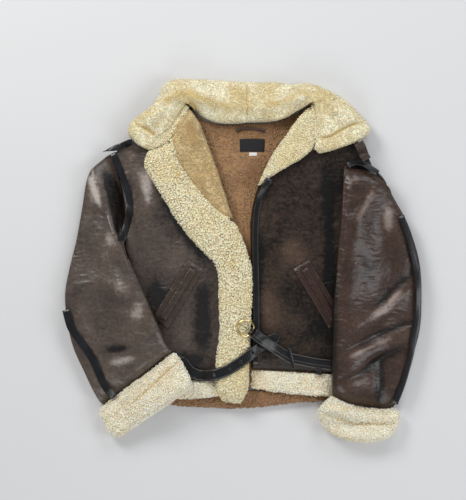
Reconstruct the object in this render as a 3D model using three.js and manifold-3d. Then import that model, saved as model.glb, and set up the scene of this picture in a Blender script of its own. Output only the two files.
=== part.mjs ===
// A sheepskin flying jacket lying flat on its back with the fronts open.
// Millimetres. +Y runs up to the collar, +Z up off the floor, origin under the middle.
// Right and left are the wearer's: the right front is on the -X side.
import * as THREE from 'three';
import Module from 'manifold-3d';

// Thicknesses and gaps.
const SKIN = 15;          // leather and pile of a body panel
const BAND = 14;          // fleece hem bands
const LAPEL = 17;         // turned-back fleece fronts
const COLLAR = 19;        // collar sheepskin
const SLEEVE = 36;        // both walls of a sleeve pressed flat
const CUFF = 42;          // both walls of a turned-back cuff
const TAPE = 1.8;         // seam tapes
const BELT = 3.2;         // belt leather
const BELT_WIDE = 25;
const SLIT = 2.6;         // hollow left inside a flattened tube
const GAP = 0.35;         // air between pieces that lie on each other

// The height map that later pieces are draped over.
const CELL = 4;
const REACH = 440;
const COUNT = Math.round(2 * REACH / CELL) + 1;

const COLOURS = {
  leather: [0x4a3c33, 0.45, 0],
  fleece: [0xe6ddb8, 0.95, 0],
  fleece_tan: [0xb79a6c, 0.95, 0],
  tape: [0x20232a, 0.5, 0],
  belt: [0x24262b, 0.45, 0],
  brass: [0xcbb26a, 0.3, 1],
  label: [0x17181a, 0.8, 0],
  label_tab: [0xe9e9e4, 0.8, 0],
  loop: [0x6a4a30, 0.6, 0],
};

const wasm = await Module();
wasm.setup();
const group = new THREE.Group();
const laid = {};

// Curves.
const mix = (a, b, t) => a + (b - a) * t;

function spline(rows, count) {
  // Rows of equal length, joined by a smooth curve and cut again at equal steps.
  const curves = [];
  const width = rows[0].length;
  const lengths = [0];
  for (let i = 1; i < rows.length; i++) {
    let d = 0;
    for (let k = 0; k < width; k++) d += (rows[i][k] - rows[i - 1][k]) ** 2;
    lengths.push(lengths[i - 1] + Math.sqrt(d));
  }
  const whole = lengths[lengths.length - 1];
  for (let n = 0; n < count; n++) {
    const s = whole * n / (count - 1);
    let i = 0;
    while (i < rows.length - 2 && lengths[i + 1] < s) i++;
    const t = (s - lengths[i]) / (lengths[i + 1] - lengths[i]);
    const p0 = rows[Math.max(0, i - 1)];
    const p1 = rows[i];
    const p2 = rows[i + 1];
    const p3 = rows[Math.min(rows.length - 1, i + 2)];
    const step = lengths[i + 1] - lengths[i];
    const before = i > 0 ? lengths[i] - lengths[i - 1] : step;
    const after = i < rows.length - 2 ? lengths[i + 2] - lengths[i + 1] : step;
    const out = [];
    for (let k = 0; k < width; k++) {
      const m1 = (p2[k] - p0[k]) / (before + step) * step * (i > 0 ? 1 : 2);
      const m2 = (p3[k] - p1[k]) / (after + step) * step * (i < rows.length - 2 ? 1 : 2);
      const a = 2 * t ** 3 - 3 * t ** 2 + 1;
      const b = t ** 3 - 2 * t ** 2 + t;
      const c = -2 * t ** 3 + 3 * t ** 2;
      const d = t ** 3 - t ** 2;
      out.push(a * p1[k] + b * m1 + c * p2[k] + d * m2);
    }
    curves.push(out);
  }
  return curves;
}

function nearLine(line, x, y) {
  let best = Infinity;
  for (let i = 1; i < line.length; i++) {
    const [ax, ay] = line[i - 1];
    const dx = line[i][0] - ax;
    const dy = line[i][1] - ay;
    const t = Math.min(1, Math.max(0, ((x - ax) * dx + (y - ay) * dy) / (dx * dx + dy * dy)));
    best = Math.min(best, Math.hypot(x - ax - t * dx, y - ay - t * dy));
  }
  return best;
}

function foldHeight(folds, x, y) {
  let h = 0;
  for (const f of folds) {
    const d = nearLine(f.line, x, y) / f.wide;
    h += f.high * Math.exp(-d * d);
  }
  return h;
}

// Meshes.
function addMesh(name, slot, positions, faces) {
  const geometry = new THREE.BufferGeometry();
  geometry.setAttribute('position', new THREE.Float32BufferAttribute(positions.flat(), 3));
  geometry.setIndex(faces.flat());
  geometry.computeVertexNormals();
  const [color, roughness, metalness] = COLOURS[slot];
  const material = new THREE.MeshStandardMaterial({ color, roughness, metalness });
  material.name = slot;
  const mesh = new THREE.Mesh(geometry, material);
  mesh.name = name;
  group.add(mesh);
  laid[name] = { positions, faces };
  return mesh;
}

function rings(name, slot, outer, inner) {
  // Rows of closed rings. With inner rings the piece is a tube, else it is solid.
  const positions = [];
  const faces = [];
  const n = outer[0].length;
  const rows = outer.length;
  for (const ring of outer) positions.push(...ring);
  const wall = (base, flip) => {
    for (let i = 0; i < rows - 1; i++) {
      for (let k = 0; k < n; k++) {
        const a = base + i * n + k;
        const b = base + i * n + (k + 1) % n;
        const quad = [[a, b, b + n], [a, b + n, a + n]];
        for (const t of quad) faces.push(flip ? [t[0], t[2], t[1]] : t);
      }
    }
  };
  wall(0, false);
  if (inner) {
    const base = rows * n;
    for (const ring of inner) positions.push(...ring);
    wall(base, true);
    for (let k = 0; k < n; k++) {
      const j = (k + 1) % n;
      faces.push([k, base + k, base + j], [k, base + j, j]);
      const a = (rows - 1) * n;
      faces.push([a + k, a + j, base + a + j], [a + k, base + a + j, base + a + k]);
    }
  } else {
    const half = n / 2;
    const a = (rows - 1) * n;
    for (let k = 0; k < half - 1; k++) {
      const u = n - 1 - k;
      faces.push([k, u, u - 1], [k, u - 1, k + 1]);
      faces.push([a + k, a + u - 1, a + u], [a + k, a + k + 1, a + u - 1]);
    }
  }
  // A mesh wound inside out is turned round.
  let volume = 0;
  for (const [p, q, r] of faces) {
    const [A, B, C] = [positions[p], positions[q], positions[r]];
    volume += A[0] * (B[1] * C[2] - B[2] * C[1]);
    volume += A[1] * (B[2] * C[0] - B[0] * C[2]);
    volume += A[2] * (B[0] * C[1] - B[1] * C[0]);
  }
  if (volume < 0) for (const f of faces) f.reverse();
  return addMesh(name, slot, positions, faces);
}

// The ground under a piece: the top of what it lies on, spread, eased and lifted by the gap.
const at = (i, j) => j * COUNT + i;

function raster(names, keep) {
  const map = new Float64Array(COUNT * COUNT);
  for (const name of names) {
    const { positions, faces } = laid[name];
    for (const [p, q, r] of faces) {
      const [A, B, C] = [positions[p], positions[q], positions[r]];
      const area = (B[0] - A[0]) * (C[1] - A[1]) - (C[0] - A[0]) * (B[1] - A[1]);
      if (Math.abs(area) < 1e-6) continue;
      const xs = [A[0], B[0], C[0]];
      const ys = [A[1], B[1], C[1]];
      const i0 = Math.ceil((Math.min(...xs) + REACH) / CELL);
      const i1 = Math.floor((Math.max(...xs) + REACH) / CELL);
      const j0 = Math.ceil((Math.min(...ys) + REACH) / CELL);
      const j1 = Math.floor((Math.max(...ys) + REACH) / CELL);
      for (let j = j0; j <= j1; j++) {
        for (let i = i0; i <= i1; i++) {
          const x = i * CELL - REACH;
          const y = j * CELL - REACH;
          const u = ((x - A[0]) * (C[1] - A[1]) - (C[0] - A[0]) * (y - A[1])) / area;
          const v = ((B[0] - A[0]) * (y - A[1]) - (x - A[0]) * (B[1] - A[1])) / area;
          if (u < -0.02 || v < -0.02 || u + v > 1.02) continue;
          const z = A[2] + u * (B[2] - A[2]) + v * (C[2] - A[2]);
          if (z > map[at(i, j)] && (!keep || keep(x, y))) map[at(i, j)] = z;
        }
      }
    }
  }
  return map;
}

function pass(map, cells, combine) {
  // One window along X, then one along Y.
  let from = map;
  for (const [di, dj] of [[1, 0], [0, 1]]) {
    const to = new Float64Array(map.length);
    for (let j = 0; j < COUNT; j++) {
      for (let i = 0; i < COUNT; i++) {
        const seen = [];
        for (let k = -cells; k <= cells; k++) {
          const a = Math.min(COUNT - 1, Math.max(0, i + k * di));
          const b = Math.min(COUNT - 1, Math.max(0, j + k * dj));
          seen.push(from[at(a, b)]);
        }
        to[at(i, j)] = combine(seen);
      }
    }
    from = to;
  }
  return from;
}

const highest = (seen) => Math.max(...seen);
const average = (seen) => seen.reduce((a, b) => a + b, 0) / seen.length;

function ease(map, slope) {
  // No drop is steeper than the slope.
  const straight = slope * CELL;
  const slant = slope * CELL * Math.SQRT2;
  for (const way of [1, -1]) {
    for (let b = 1; b < COUNT - 1; b++) {
      for (let a = 1; a < COUNT - 1; a++) {
        const i = way > 0 ? a : COUNT - 1 - a;
        const j = way > 0 ? b : COUNT - 1 - b;
        map[at(i, j)] = Math.max(
          map[at(i, j)],
          map[at(i - way, j)] - straight,
          map[at(i, j - way)] - straight,
          map[at(i - way, j - way)] - slant,
          map[at(i + way, j - way)] - slant,
        );
      }
    }
  }
}

function ground(names, { facet = 12, blur = 8, slope = 0.7, keep = null, gap = GAP } = {}) {
  if (!names.length) return () => 0;
  let map = raster(names, keep);
  const soft = Math.max(1, Math.round(blur / CELL));
  map = pass(map, soft + Math.ceil(facet / CELL), highest);
  ease(map, slope);
  map = pass(map, soft, average);
  return (x, y) => {
    const fx = Math.min(COUNT - 1.001, Math.max(0, (x + REACH) / CELL));
    const fy = Math.min(COUNT - 1.001, Math.max(0, (y + REACH) / CELL));
    const i = Math.floor(fx);
    const j = Math.floor(fy);
    const low = mix(map[at(i, j)], map[at(i + 1, j)], fx - i);
    const high = mix(map[at(i, j + 1)], map[at(i + 1, j + 1)], fx - i);
    const z = mix(low, high, fy - j);
    return z < 0.01 ? 0 : z + gap * Math.min(1, z / 2);
  };
}

// A piece between two edges. Each row of the table is ax, ay, bx, by and an optional bow,
// the distance its middle is pushed along the table.
function across(row, t) {
  const [ax, ay, bx, by, bow = 0] = row;
  const long = Math.hypot(bx - ax, by - ay) || 1;
  const push = bow * 4 * t * (1 - t);
  return [
    mix(ax, bx, t) + push * (by - ay) / long,
    mix(ay, by, t) - push * (bx - ax) / long,
  ];
}

function spacing(parts, edge) {
  // Places across a piece, closer together at both edges.
  const out = [0, edge * 0.35, edge];
  const middle = parts - 4;
  for (let i = 1; i < middle; i++) out.push(mix(edge, 1 - edge, i / middle));
  out.push(1 - edge, 1 - edge * 0.35, 1);
  return out;
}

function roundOff(d, radius, least) {
  const k = 1 - Math.min(1, Math.max(0, d / radius));
  return least + (1 - least) * Math.sqrt(1 - k * k);
}

function shape(name, slot, table, thick, options = {}) {
  const {
    rows = 20, parts = 8, edge = 0.06, radius = 8, least = 0.45, lift = 0, folds = [],
    under = () => 0, tube = false, places = spacing(parts, edge), ends = true, endRadius = radius, grow = () => 1, wall = 0,
  } = options;
  const fine = spline(table, rows);
  const outer = [];
  const inner = [];
  const starts = [0];
  for (let i = 1; i < rows; i++) {
    const [px, py] = across(fine[i - 1], 0.5);
    const [qx, qy] = across(fine[i], 0.5);
    starts.push(starts[i - 1] + Math.hypot(qx - px, qy - py));
  }
  const whole = starts[rows - 1];
  for (let i = 0; i < rows; i++) {
    const row = fine[i];
    const wide = Math.hypot(row[2] - row[0], row[3] - row[1]);
    const along = starts[i];
    const endEase = ends ? roundOff(Math.min(along, whole - along), endRadius, least) : 1;
    const top = [];
    const bottom = [];
    const hollowTop = [];
    const hollowBottom = [];
    const inset = tube ? Math.min(0.3, (wall || thick * 0.4) / wide) : 0;
    for (const t of places) {
      const [x, y] = across(row, t);
      const near = Math.min(t, 1 - t) * wide;
      const level = under(x, y);
      const full = thick * grow(along / whole, t);
      const rise = full * roundOff(near, Math.min(radius, wide * 0.45), least) * endEase;
      const floor = level + lift * (1 - roundOff(near, radius * 0.6, 0));
      let z = level + rise + foldHeight(folds, x, y);
      z = Math.max(z, floor + (tube ? full * 0.42 + 6 : Math.min(full * 0.5, 6)) * endEase);
      top.push([x, y, z]);
      bottom.push([x, y, floor]);
      if (tube) {
        const [hx, hy] = across(row, mix(inset, 1 - inset, t));
        const base = under(hx, hy);
        const mid = base + full * 0.42 * endEase;
        hollowTop.push([hx, hy, mid + SLIT / 2]);
        hollowBottom.push([hx, hy, mid - SLIT / 2]);
      }
    }
    outer.push([...top, ...bottom.reverse()]);
    if (tube) inner.push([...hollowTop, ...hollowBottom.reverse()]);
  }
  return rings(name, slot, outer, tube ? inner : null);
}

// A strip of even width draped along a line.
function strip(name, slot, line, wide, thick, options = {}) {
  const rows = options.rows ?? 20;
  const parts = spline(line, rows * 3);
  const table = [];
  for (let i = 0; i < parts.length; i++) {
    const p = parts[Math.max(0, i - 1)];
    const q = parts[Math.min(parts.length - 1, i + 1)];
    const long = Math.hypot(q[0] - p[0], q[1] - p[1]);
    const nx = -(q[1] - p[1]) / long * wide / 2;
    const ny = (q[0] - p[0]) / long * wide / 2;
    const taper = options.taper ? options.taper(i / (parts.length - 1)) : 1;
    const [x, y] = parts[i];
    table.push([x + nx * taper, y + ny * taper, x - nx * taper, y - ny * taper]);
  }
  return shape(name, slot, table, thick, {
    rows, places: [0, 0.08, 0.5, 0.92, 1], radius: 1.5, least: 0.6, ends: false, ...options,
  });
}

// A flat piece cut to an outline, its upper edge rounded.
function flat(name, slot, outline, z0, z1, bevel = 4) {
  const shape2d = new THREE.Shape(outline.map(([x, y]) => new THREE.Vector2(x, y)));
  const geometry = new THREE.ExtrudeGeometry(shape2d, {
    depth: z1 - z0 - 2 * bevel, bevelEnabled: true, bevelThickness: bevel,
    bevelSize: bevel, bevelOffset: -bevel, bevelSegments: 1, curveSegments: 1,
  });
  const flatPositions = geometry.getAttribute('position');
  const seen = new Map();
  const positions = [];
  const index = [];
  for (let i = 0; i < flatPositions.count; i++) {
    const p = [flatPositions.getX(i), flatPositions.getY(i), flatPositions.getZ(i) + z0 + bevel];
    const key = p.map((v) => Math.round(v * 1000)).join();
    if (!seen.has(key)) {
      seen.set(key, positions.length);
      positions.push(p);
    }
    index.push(seen.get(key));
  }
  const faces = [];
  for (let i = 0; i < index.length; i += 3) {
    const [a, b, c] = index.slice(i, i + 3);
    if (a !== b && b !== c && a !== c) faces.push([a, b, c]);
  }
  return addMesh(name, slot, positions, faces);
}

// Body panels. The back lies on the floor, the two fronts lie on the back.
const BACK = [
  [-127, 363], [-190, 324], [-250, 287], [-304, 253], [-296, 225], [-285, 198], [-276, 170],
  [-269, 147], [-267, 122], [-269, 94], [-278, 48], [-270, 0], [-256, -70], [-240, -140],
  [-225, -210], [-211, -299], [219, -299], [226, -210], [232, -120], [240, -30], [246, 48],
  [250, 110], [264, 160], [306, 196], [271, 274], [215, 320], [156, 366], [143, 352],
  [120, 340], [85, 322], [51, 317], [16, 320], [-18, 315], [-60, 315], [-99, 327], [-110, 340],
];
flat('back_panel', 'fleece_tan', BACK, 0, SKIN);
const HEM_BACK = [
  [-211, -299.6], [-206, -316], [-168, -336], [-122, -338], [-76, -339], [-25, -343], [51, -339],
  [131, -326], [173, -328], [214, -318], [219, -299.6],
];
flat('hem_band_back', 'fleece_tan', HEM_BACK, 0, BAND);

const onBack = () => SKIN + GAP;
// ax, ay on the outer side, bx, by on the opening side
const FRONT_RIGHT = [
  [-139, 355, -121, 357], [-190, 323, -105, 328], [-250, 286, -94, 300], [-304, 252, -80, 262],
  [-296, 225, -70, 228], [-285, 198, -60, 195], [-276, 170, -50, 166], [-269, 147, -41, 140],
  [-267, 122, -33, 115], [-269, 94, -23, 90], [-278, 48, -7, 48], [-270, 0, 11, 0],
  [-256, -70, 17, -70], [-240, -140, 14, -140], [-225, -210, 12, -210], [-213, -276, 11, -276],
];
shape('front_right', 'leather', FRONT_RIGHT, SKIN, {
  rows: 20, parts: 8, edge: 0.05, under: onBack,
  folds: [
    { line: [[-262, 40], [-200, -20], [-150, -20]], high: 4, wide: 22 },
    { line: [[-240, -120], [-170, -170], [-90, -180]], high: -3, wide: 16 },
    { line: [[-250, -60], [-190, -90], [-110, -80]], high: 3.5, wide: 20 },
  ],
});
const FRONT_LEFT = [
  [146, 356, 166, 358], [125, 322, 215, 319], [98, 296, 250, 290], [85, 274, 271, 273],
  [62, 237, 290, 238], [44, 196, 306, 196], [30, 163, 264, 160], [21, 133, 252, 128],
  [16, 94, 248, 94], [15, 60, 246, 52], [17, 25, 243, 5], [19, -2, 240, -30],
  [19, -90, 234, -100], [18, -170, 229, -180], [17, -215, 224, -225], [17, -251, 219, -262],
];
shape('front_left', 'leather', FRONT_LEFT, SKIN, {
  rows: 20, parts: 8, edge: 0.05, under: onBack,
  folds: [
    { line: [[150, 190], [140, 110], [110, 40]], high: 4, wide: 22 },
    { line: [[60, 140], [90, 60], [80, 0]], high: -3, wide: 14 },
    { line: [[190, 140], [180, 60], [160, 10]], high: -3.5, wide: 14 },
    { line: [[40, -60], [90, -110], [110, -180]], high: 3.5, wide: 20 },
    { line: [[215, -150], [150, -190], [90, -240]], high: 3, wide: 16 },
  ],
});
const HEM_RIGHT = [
  [-213, -277, -207, -314], [-160, -277, -160, -318], [-100, -277, -100, -316],
  [-40, -277, -40, -311], [11, -277, 9, -306],
];
shape('hem_band_right', 'fleece', HEM_RIGHT, BAND, { rows: 9, parts: 6, edge: 0.16, under: onBack });
const HEM_LEFT = [
  [17, -252, 16, -293], [50, -253.8, 50, -298], [85, -255.7, 85, -303], [131, -258.2, 131, -308],
  [175, -260.6, 175, -311], [219, -263, 218, -312],
];
shape('hem_band_left', 'fleece', HEM_LEFT, BAND, { rows: 10, parts: 6, edge: 0.16, under: onBack });

// Turned-back right front: a smooth pile facing by the fold and a curly band along the edge.
const fronts = ['front_right', 'front_left', 'hem_band_right', 'hem_band_left', 'back_panel'];
const onFronts = ground(fronts, { facet: 14, blur: 8, slope: 0.9 });
const FACING = [
  [-141, 332, -125, 352], [-157, 304, -112, 334], [-164, 280, -101, 318], [-158, 250, -88, 283],
  [-149, 227, -76, 251], [-134, 205, -63, 216], [-118, 182, -55, 191], [-99, 158, -46, 163],
  [-81, 137, -38, 138], [-62, 119, -30, 114], [-43, 102, -25, 98],
];
shape('facing_right', 'fleece_tan', FACING, LAPEL - 2, {
  rows: 18, parts: 7, edge: 0.1, radius: 9, least: 0.55, under: onFronts,
});
const LAPEL_BAND = [
  [-214, 252, -170, 275], [-223, 242, -161, 247], [-227, 225, -152, 226], [-223, 208, -138, 205],
  [-209, 186, -121, 181], [-196, 166, -103, 157], [-184, 145, -84, 135], [-170, 124, -66, 117],
  [-158, 104, -46, 99], [-145, 85, -22, 88], [-130, 62, -8, 62], [-110, 40, 3, 34],
  [-90, 20, 12, 8], [-72, 4, 18, -15], [-61, -15, 20, -40], [-55, -40, 20, -62],
  [-57, -78, 19, -80], [-54, -113, 17, -113], [-54, -159, 15, -159], [-59, -200, 13, -200],
  [-62, -239, 11, -239], [-61, -290, 9, -297], [-46, -322, -8, -328],
];
shape('lapel_band_right', 'fleece', LAPEL_BAND, LAPEL + 2, {
  rows: 38, parts: 8, edge: 0.12, radius: 13, least: 0.5, under: onFronts,
  folds: [
    { line: [[-205, 240], [-190, 205], [-140, 120], [-80, 50]], high: 4, wide: 20 },
    { line: [[-60, 70], [-20, 10], [-15, -120], [-20, -280]], high: 3, wide: 18 },
    { line: [[-190, 262], [-170, 225], [-150, 195]], high: -4, wide: 9 },
  ],
});
const LAPEL_LEFT = [
  [152, 352, 160, 340], [131, 334, 159, 322], [108, 303, 164, 296], [92, 280, 166, 280],
  [74, 256, 157, 256], [61, 233, 124, 231], [51, 211, 82, 207], [42, 191, 55, 190],
  [35, 175, 41, 174],
];
shape('lapel_left', 'fleece', LAPEL_LEFT, LAPEL, {
  rows: 15, parts: 6, edge: 0.12, radius: 10, least: 0.55, under: onFronts,
});

// Collar, one strip from the tip of the right wing round the neck to the left wing.
const COLLAR_ROWS = [
  [-221, 256, -216, 258], [-244, 269, -195, 283], [-260, 283, -178, 296], [-267, 299, -165, 306],
  [-260, 317, -156, 320], [-237, 336, -148, 334], [-214, 352, -139, 350], [-202, 368, -130, 365],
  [-191, 389, -120, 358], [-184, 405, -112, 348], [-168, 418, -102, 337], [-133, 421, -90, 329],
  [-99, 420, -75, 322], [-60, 418, -50, 318], [-20, 416, -18, 318], [25, 414, 20, 321],
  [69, 414, 55, 321], [97, 410, 85, 325], [124, 407, 104, 333], [143, 411, 118, 342],
  [161, 409, 130, 349], [200, 393, 141, 355], [223, 382, 150, 362], [246, 361, 160, 362],
  [269, 336, 163, 345], [291, 313, 165, 325], [293, 301, 168, 301], [278, 282, 169, 287],
  [246, 269, 167, 276], [200, 253, 164, 266], [172, 247, 161, 258],
];
const neckWave = (t) => 1 - 0.25 * Math.cos(2 * Math.PI * t);
shape('collar', 'fleece', COLLAR_ROWS, COLLAR, {
  rows: 46, parts: 8, edge: 0.1, radius: 11, least: 0.55,
  under: ground([...fronts], { facet: 14, blur: 8, slope: 1.2 }),
  grow: (s) => 0.8 + 0.3 * neckWave(s),
  folds: [
    { line: [[-160, 398], [-100, 378], [-40, 366], [20, 364], [90, 368], [140, 380]], high: 26, wide: 26 },
    { line: [[-235, 308], [-200, 335], [-165, 375]], high: 12, wide: 20 },
    { line: [[258, 318], [225, 348], [185, 380]], high: 12, wide: 20 },
    { line: [[-140, 376], [-99, 329]], high: -12, wide: 10 },
    { line: [[160, 380], [124, 342]], high: -12, wide: 10 },
    { line: [[-251, 317], [-237, 308], [-214, 297], [-191, 284]], high: -7, wide: 7 },
    { line: [[274, 315], [246, 309], [223, 297], [200, 284], [175, 281]], high: -7, wide: 7 },
    { line: [[-140, 330], [-60, 322], [40, 326], [110, 342]], high: -5, wide: 12 },
  ],
});

// Slanted pockets: a flat frame sewn to the front and a welt along its middle.
const POCKET = { long: 160, wide: 43, welt: 17, thick: 2, turn: [0.517, -0.856] };
function pocket(side, cx, cy, mirror) {
  const [dx, dy] = [POCKET.turn[0] * mirror, POCKET.turn[1]];
  const line = (half) => [[cx - dx * half, cy - dy * half], [cx, cy], [cx + dx * half, cy + dy * half]];
  const onFront = ground(['front_' + side], { facet: 14, blur: 8 });
  strip('pocket_frame_' + side, 'leather', line(POCKET.long / 2), POCKET.wide, POCKET.thick, {
    rows: 8, under: onFront, least: 0.7,
  });
  strip('pocket_welt_' + side, 'leather', line(POCKET.long / 2 - 12), POCKET.welt, POCKET.thick + 1, {
    rows: 7, under: ground(['pocket_frame_' + side], { facet: 12, blur: 4 }),
  });
}
pocket('left', 174, -76, 1);
pocket('right', -151, -76, -1);
const pockets = ['pocket_frame_left', 'pocket_welt_left', 'pocket_frame_right', 'pocket_welt_right'];

// The tape that covers the zip runs down the left front under the belt.
const ZIP_TAPE = [
  [60, 188], [48, 168], [37, 145], [30, 116], [27, 71], [27, 25], [28, -21], [29, -90],
  [29, -160], [28, -238],
];
strip('zip_tape_left', 'tape', ZIP_TAPE, 15, TAPE, {
  rows: 24, under: ground(['front_left', 'lapel_left'], { facet: 16, blur: 5, slope: 2.2 }),
});

// Waist belt, open, its two ends lying on the fronts.
const carriers = [...fronts, 'lapel_band_right', 'zip_tape_left', ...pockets];
const onFacing = ground(carriers, { facet: 10, blur: 6, slope: 1.2 });
const TONGUE = [
  [-168, -224], [-138, -233], [-122, -253], [-104, -262], [-83, -262], [-60, -258], [-35, -248],
  [-7, -230], [16, -213], [35, -200], [58, -184], [84, -171],
];
strip('belt_tongue', 'belt', TONGUE, BELT_WIDE, BELT, {
  rows: 36, under: onFacing, taper: (t) => Math.sqrt(Math.min(1, Math.max(0.02, (1 - t) / 0.045))),
});
const onBelt = ground([...carriers, 'belt_tongue'],
  { facet: 10, blur: 6, slope: 1.2 });
const BUCKLE_STRAP = [
  [230, -242], [198, -239], [166, -235], [131, -228], [108, -223], [85, -209], [62, -193],
  [39, -177], [23.5, -165],
];
strip('belt_strap', 'belt', BUCKLE_STRAP, BELT_WIDE, BELT, { rows: 34, under: onBelt });

// Sleeves and cuffs: tubes pressed flat, lying partly on the body.
const body = [...fronts, 'hem_band_back', ...pockets, 'belt_tongue', 'belt_strap'];
const SLEEVE_RIGHT = [
  [-310, 252, -279, 46, -17], [-331, 231, -279, 40, -15], [-357, 209, -273, 28, -11],
  [-366, 173, -267, 14, -7], [-373, 117, -258, -4, -3], [-386, 48, -242, -35, 0],
  [-403, -16, -228, -67, 0], [-413, -85, -214, -99, 0], [-407, -147, -200, -131, 0],
  [-393, -205, -186, -161, 0], [-366, -262, -175, -189, 0], [-328, -337, -161, -207, 0],
];
const tubeGround = { facet: 20, blur: 12, slope: 0.8 };
shape('sleeve_right', 'leather', SLEEVE_RIGHT, SLEEVE, {
  rows: 23, parts: 9, edge: 0.08, radius: 24, least: 0.4, lift: 7, tube: true, endRadius: 14,
  under: ground(body, { ...tubeGround, keep: (x, y) => y < 30 }),
  folds: [
    { line: [[-357, 200], [-329, 172], [-315, 140], [-303, 105], [-290, 60]], high: 12, wide: 14 },
    { line: [[-322, 226], [-300, 180], [-287, 125], [-285, 70]], high: -14, wide: 11 },
    { line: [[-385, 30], [-330, 0], [-270, -15]], high: -5, wide: 14 },
    { line: [[-405, -120], [-330, -110], [-240, -130]], high: -5, wide: 14 },
    { line: [[-400, -60], [-330, -55], [-250, -70]], high: 5, wide: 18 },
    { line: [[-380, -210], [-300, -200], [-200, -170]], high: 5, wide: 16 },
  ],
});
const SLEEVE_LEFT = [
  [313, 197, 232, 221, 2], [328, 176, 228, 198, 0], [344, 150, 225, 163, 0],
  [367, 113, 223, 122, 0], [389, 67, 219, 71, 0], [405, 7, 212, 12, 0],
  [413, -48, 207, -44, 0], [413, -101, 202, -97, 0], [409, -154, 202, -150, 0],
  [398, -205, 200, -205, 0], [380, -268, 200, -258, -5], [350, -340, 202, -306, -14],
];
shape('sleeve_left', 'leather', SLEEVE_LEFT, SLEEVE, {
  rows: 25, parts: 9, edge: 0.08, radius: 24, least: 0.4, lift: 7, tube: true, endRadius: 14,
  under: ground(body, tubeGround),
  grow: (s) => 0.75 + 0.25 * Math.min(1, s / 0.2),
  folds: [
    { line: [[400, -30], [361, -44]], high: -6, wide: 9 },
    { line: [[380, -60], [310, -110], [246, -160]], high: 11, wide: 16 },
    { line: [[392, -140], [335, -165], [290, -185], [235, -214]], high: -13, wide: 10 },
    { line: [[375, -168], [310, -202], [240, -240]], high: 8, wide: 11 },
    { line: [[381, -204], [308, -241], [244, -273]], high: -11, wide: 10 },
    { line: [[317, -245], [315, -325]], high: -10, wide: 10 },
    { line: [[297, 110], [304, 25]], high: -7, wide: 15 },
    { line: [[250, 180], [245, 80], [240, 0]], high: 6, wide: 16 },
    { line: [[345, 120], [360, 40], [362, -10]], high: 5, wide: 18 },
  ],
});
const CUFF_RIGHT = [
  [-327.6, -337.7, -160.6, -207.7], [-331, -352, -151, -215], [-323, -370, -140, -232],
  [-316, -388, -128, -254], [-303, -402, -119, -274], [-287, -409, -118, -289],
];
const cuffShape = { rows: 9, parts: 9, edge: 0.08, radius: 22, least: 0.4, lift: 6, tube: true, endRadius: 16 };
shape('cuff_right', 'fleece', CUFF_RIGHT, CUFF, {
  ...cuffShape, under: ground(body, tubeGround),
  folds: [{ line: [[-322, -370], [-237, -295], [-145, -228]], high: -10, wide: 8 }],
});
const CUFF_LEFT = [
  [350.3, -340.8, 201.7, -306.8, -14], [361, -352, 182, -327, -13], [358, -366, 168, -344, -13],
  [352, -384, 175, -366, -12], [344, -400, 188, -388, -13], [334, -411, 205, -401, -14],
];
shape('cuff_left', 'fleece', CUFF_LEFT, CUFF, {
  ...cuffShape, under: ground(body, tubeGround),
  folds: [{ line: [[180, -346], [223, -368], [258, -377], [340, -377]], high: -11, wide: 8 }],
});

// Leather tapes over the seams.
const panels = [...fronts, 'collar', 'facing_right', 'lapel_band_right', 'lapel_left'];
const onShell = ground([...panels, 'sleeve_right', 'sleeve_left'], { facet: 16, blur: 5, slope: 2.2 });
const onSeam = ground(['front_left', 'sleeve_left', 'collar'], { facet: 8, blur: 4, slope: 3 });
const TAPES = [
  // name, width, rows, line
  ['armhole_tape_right', 15, 16, [[-301, 248], [-290, 226], [-279, 198], [-270, 170], [-263, 147],
    [-261, 122], [-263, 94], [-270, 60], [-277, 44]]],
  ['sleeve_tape_right', 18, 20, [[-407, -112], [-396, -152], [-375, -181], [-357, -206],
    [-342, -231], [-332, -256], [-320, -282], [-308, -300], [-296, -311]]],
  ['sleeve_tape_left', 14, 22, [[361, 104], [374, 68], [384, 32], [392, -2], [399, -48],
    [400, -94], [397, -136], [390, -175], [386, -206], [376, -244], [364, -286], [347, -328]]],
  ['armhole_tape_left', 15, 14, [[238, 219], [250, 226], [268, 226], [288, 214], [306, 200]]],
  ['shoulder_tape_left', 22, 8, [[262, 270], [272, 252], [283, 232]]],
];
for (const [name, wide, rows, line] of TAPES) {
  strip(name, 'tape', line, wide, TAPE, { rows, under: name === 'armhole_tape_left' ? onSeam : onShell });
}
strip('shoulder_tab_right', 'tape', [[-252, 272], [-275, 266], [-300, 258], [-324, 252]], 14, TAPE, {
  rows: 14,
  under: ground([...panels, 'sleeve_right', 'armhole_tape_right'], { facet: 6, blur: 4, slope: 3 }),
  taper: (t) => Math.min(1, Math.max(0.1, (1 - t) / 0.4)),
});

// Neck: a plain label sewn to the lining and a leather loop to hang it by.
const onNeck = ground(['back_panel', 'collar'], { facet: 10, blur: 5, slope: 1.5 });
const SMALL = { rows: 6, places: [0, 0.05, 0.95, 1], radius: 0.8 };
strip('neck_label', 'label', [[-8, 267], [20, 268], [49, 267]], 30, 1.2, { ...SMALL, under: onNeck });
strip('size_tab', 'label_tab', [[13, 247], [22, 247], [32, 247]], 8, 1, { ...SMALL, rows: 4, under: onNeck });
strip('hanger_loop', 'loop', [[-17, 301], [0, 306], [16, 307], [34, 305], [50, 300]], 7, 3, {
  ...SMALL, rows: 10, under: onBack,
});

// Solids joined or cut.
function solid(name) {
  const { positions, faces } = laid[name];
  const mesh = new wasm.Mesh({
    numProp: 3, vertProperties: new Float32Array(positions.flat()), triVerts: new Uint32Array(faces.flat()),
  });
  mesh.merge();
  return new wasm.Manifold(mesh);
}

function drop(name) {
  group.remove(group.getObjectByName(name));
  delete laid[name];
}

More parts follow.
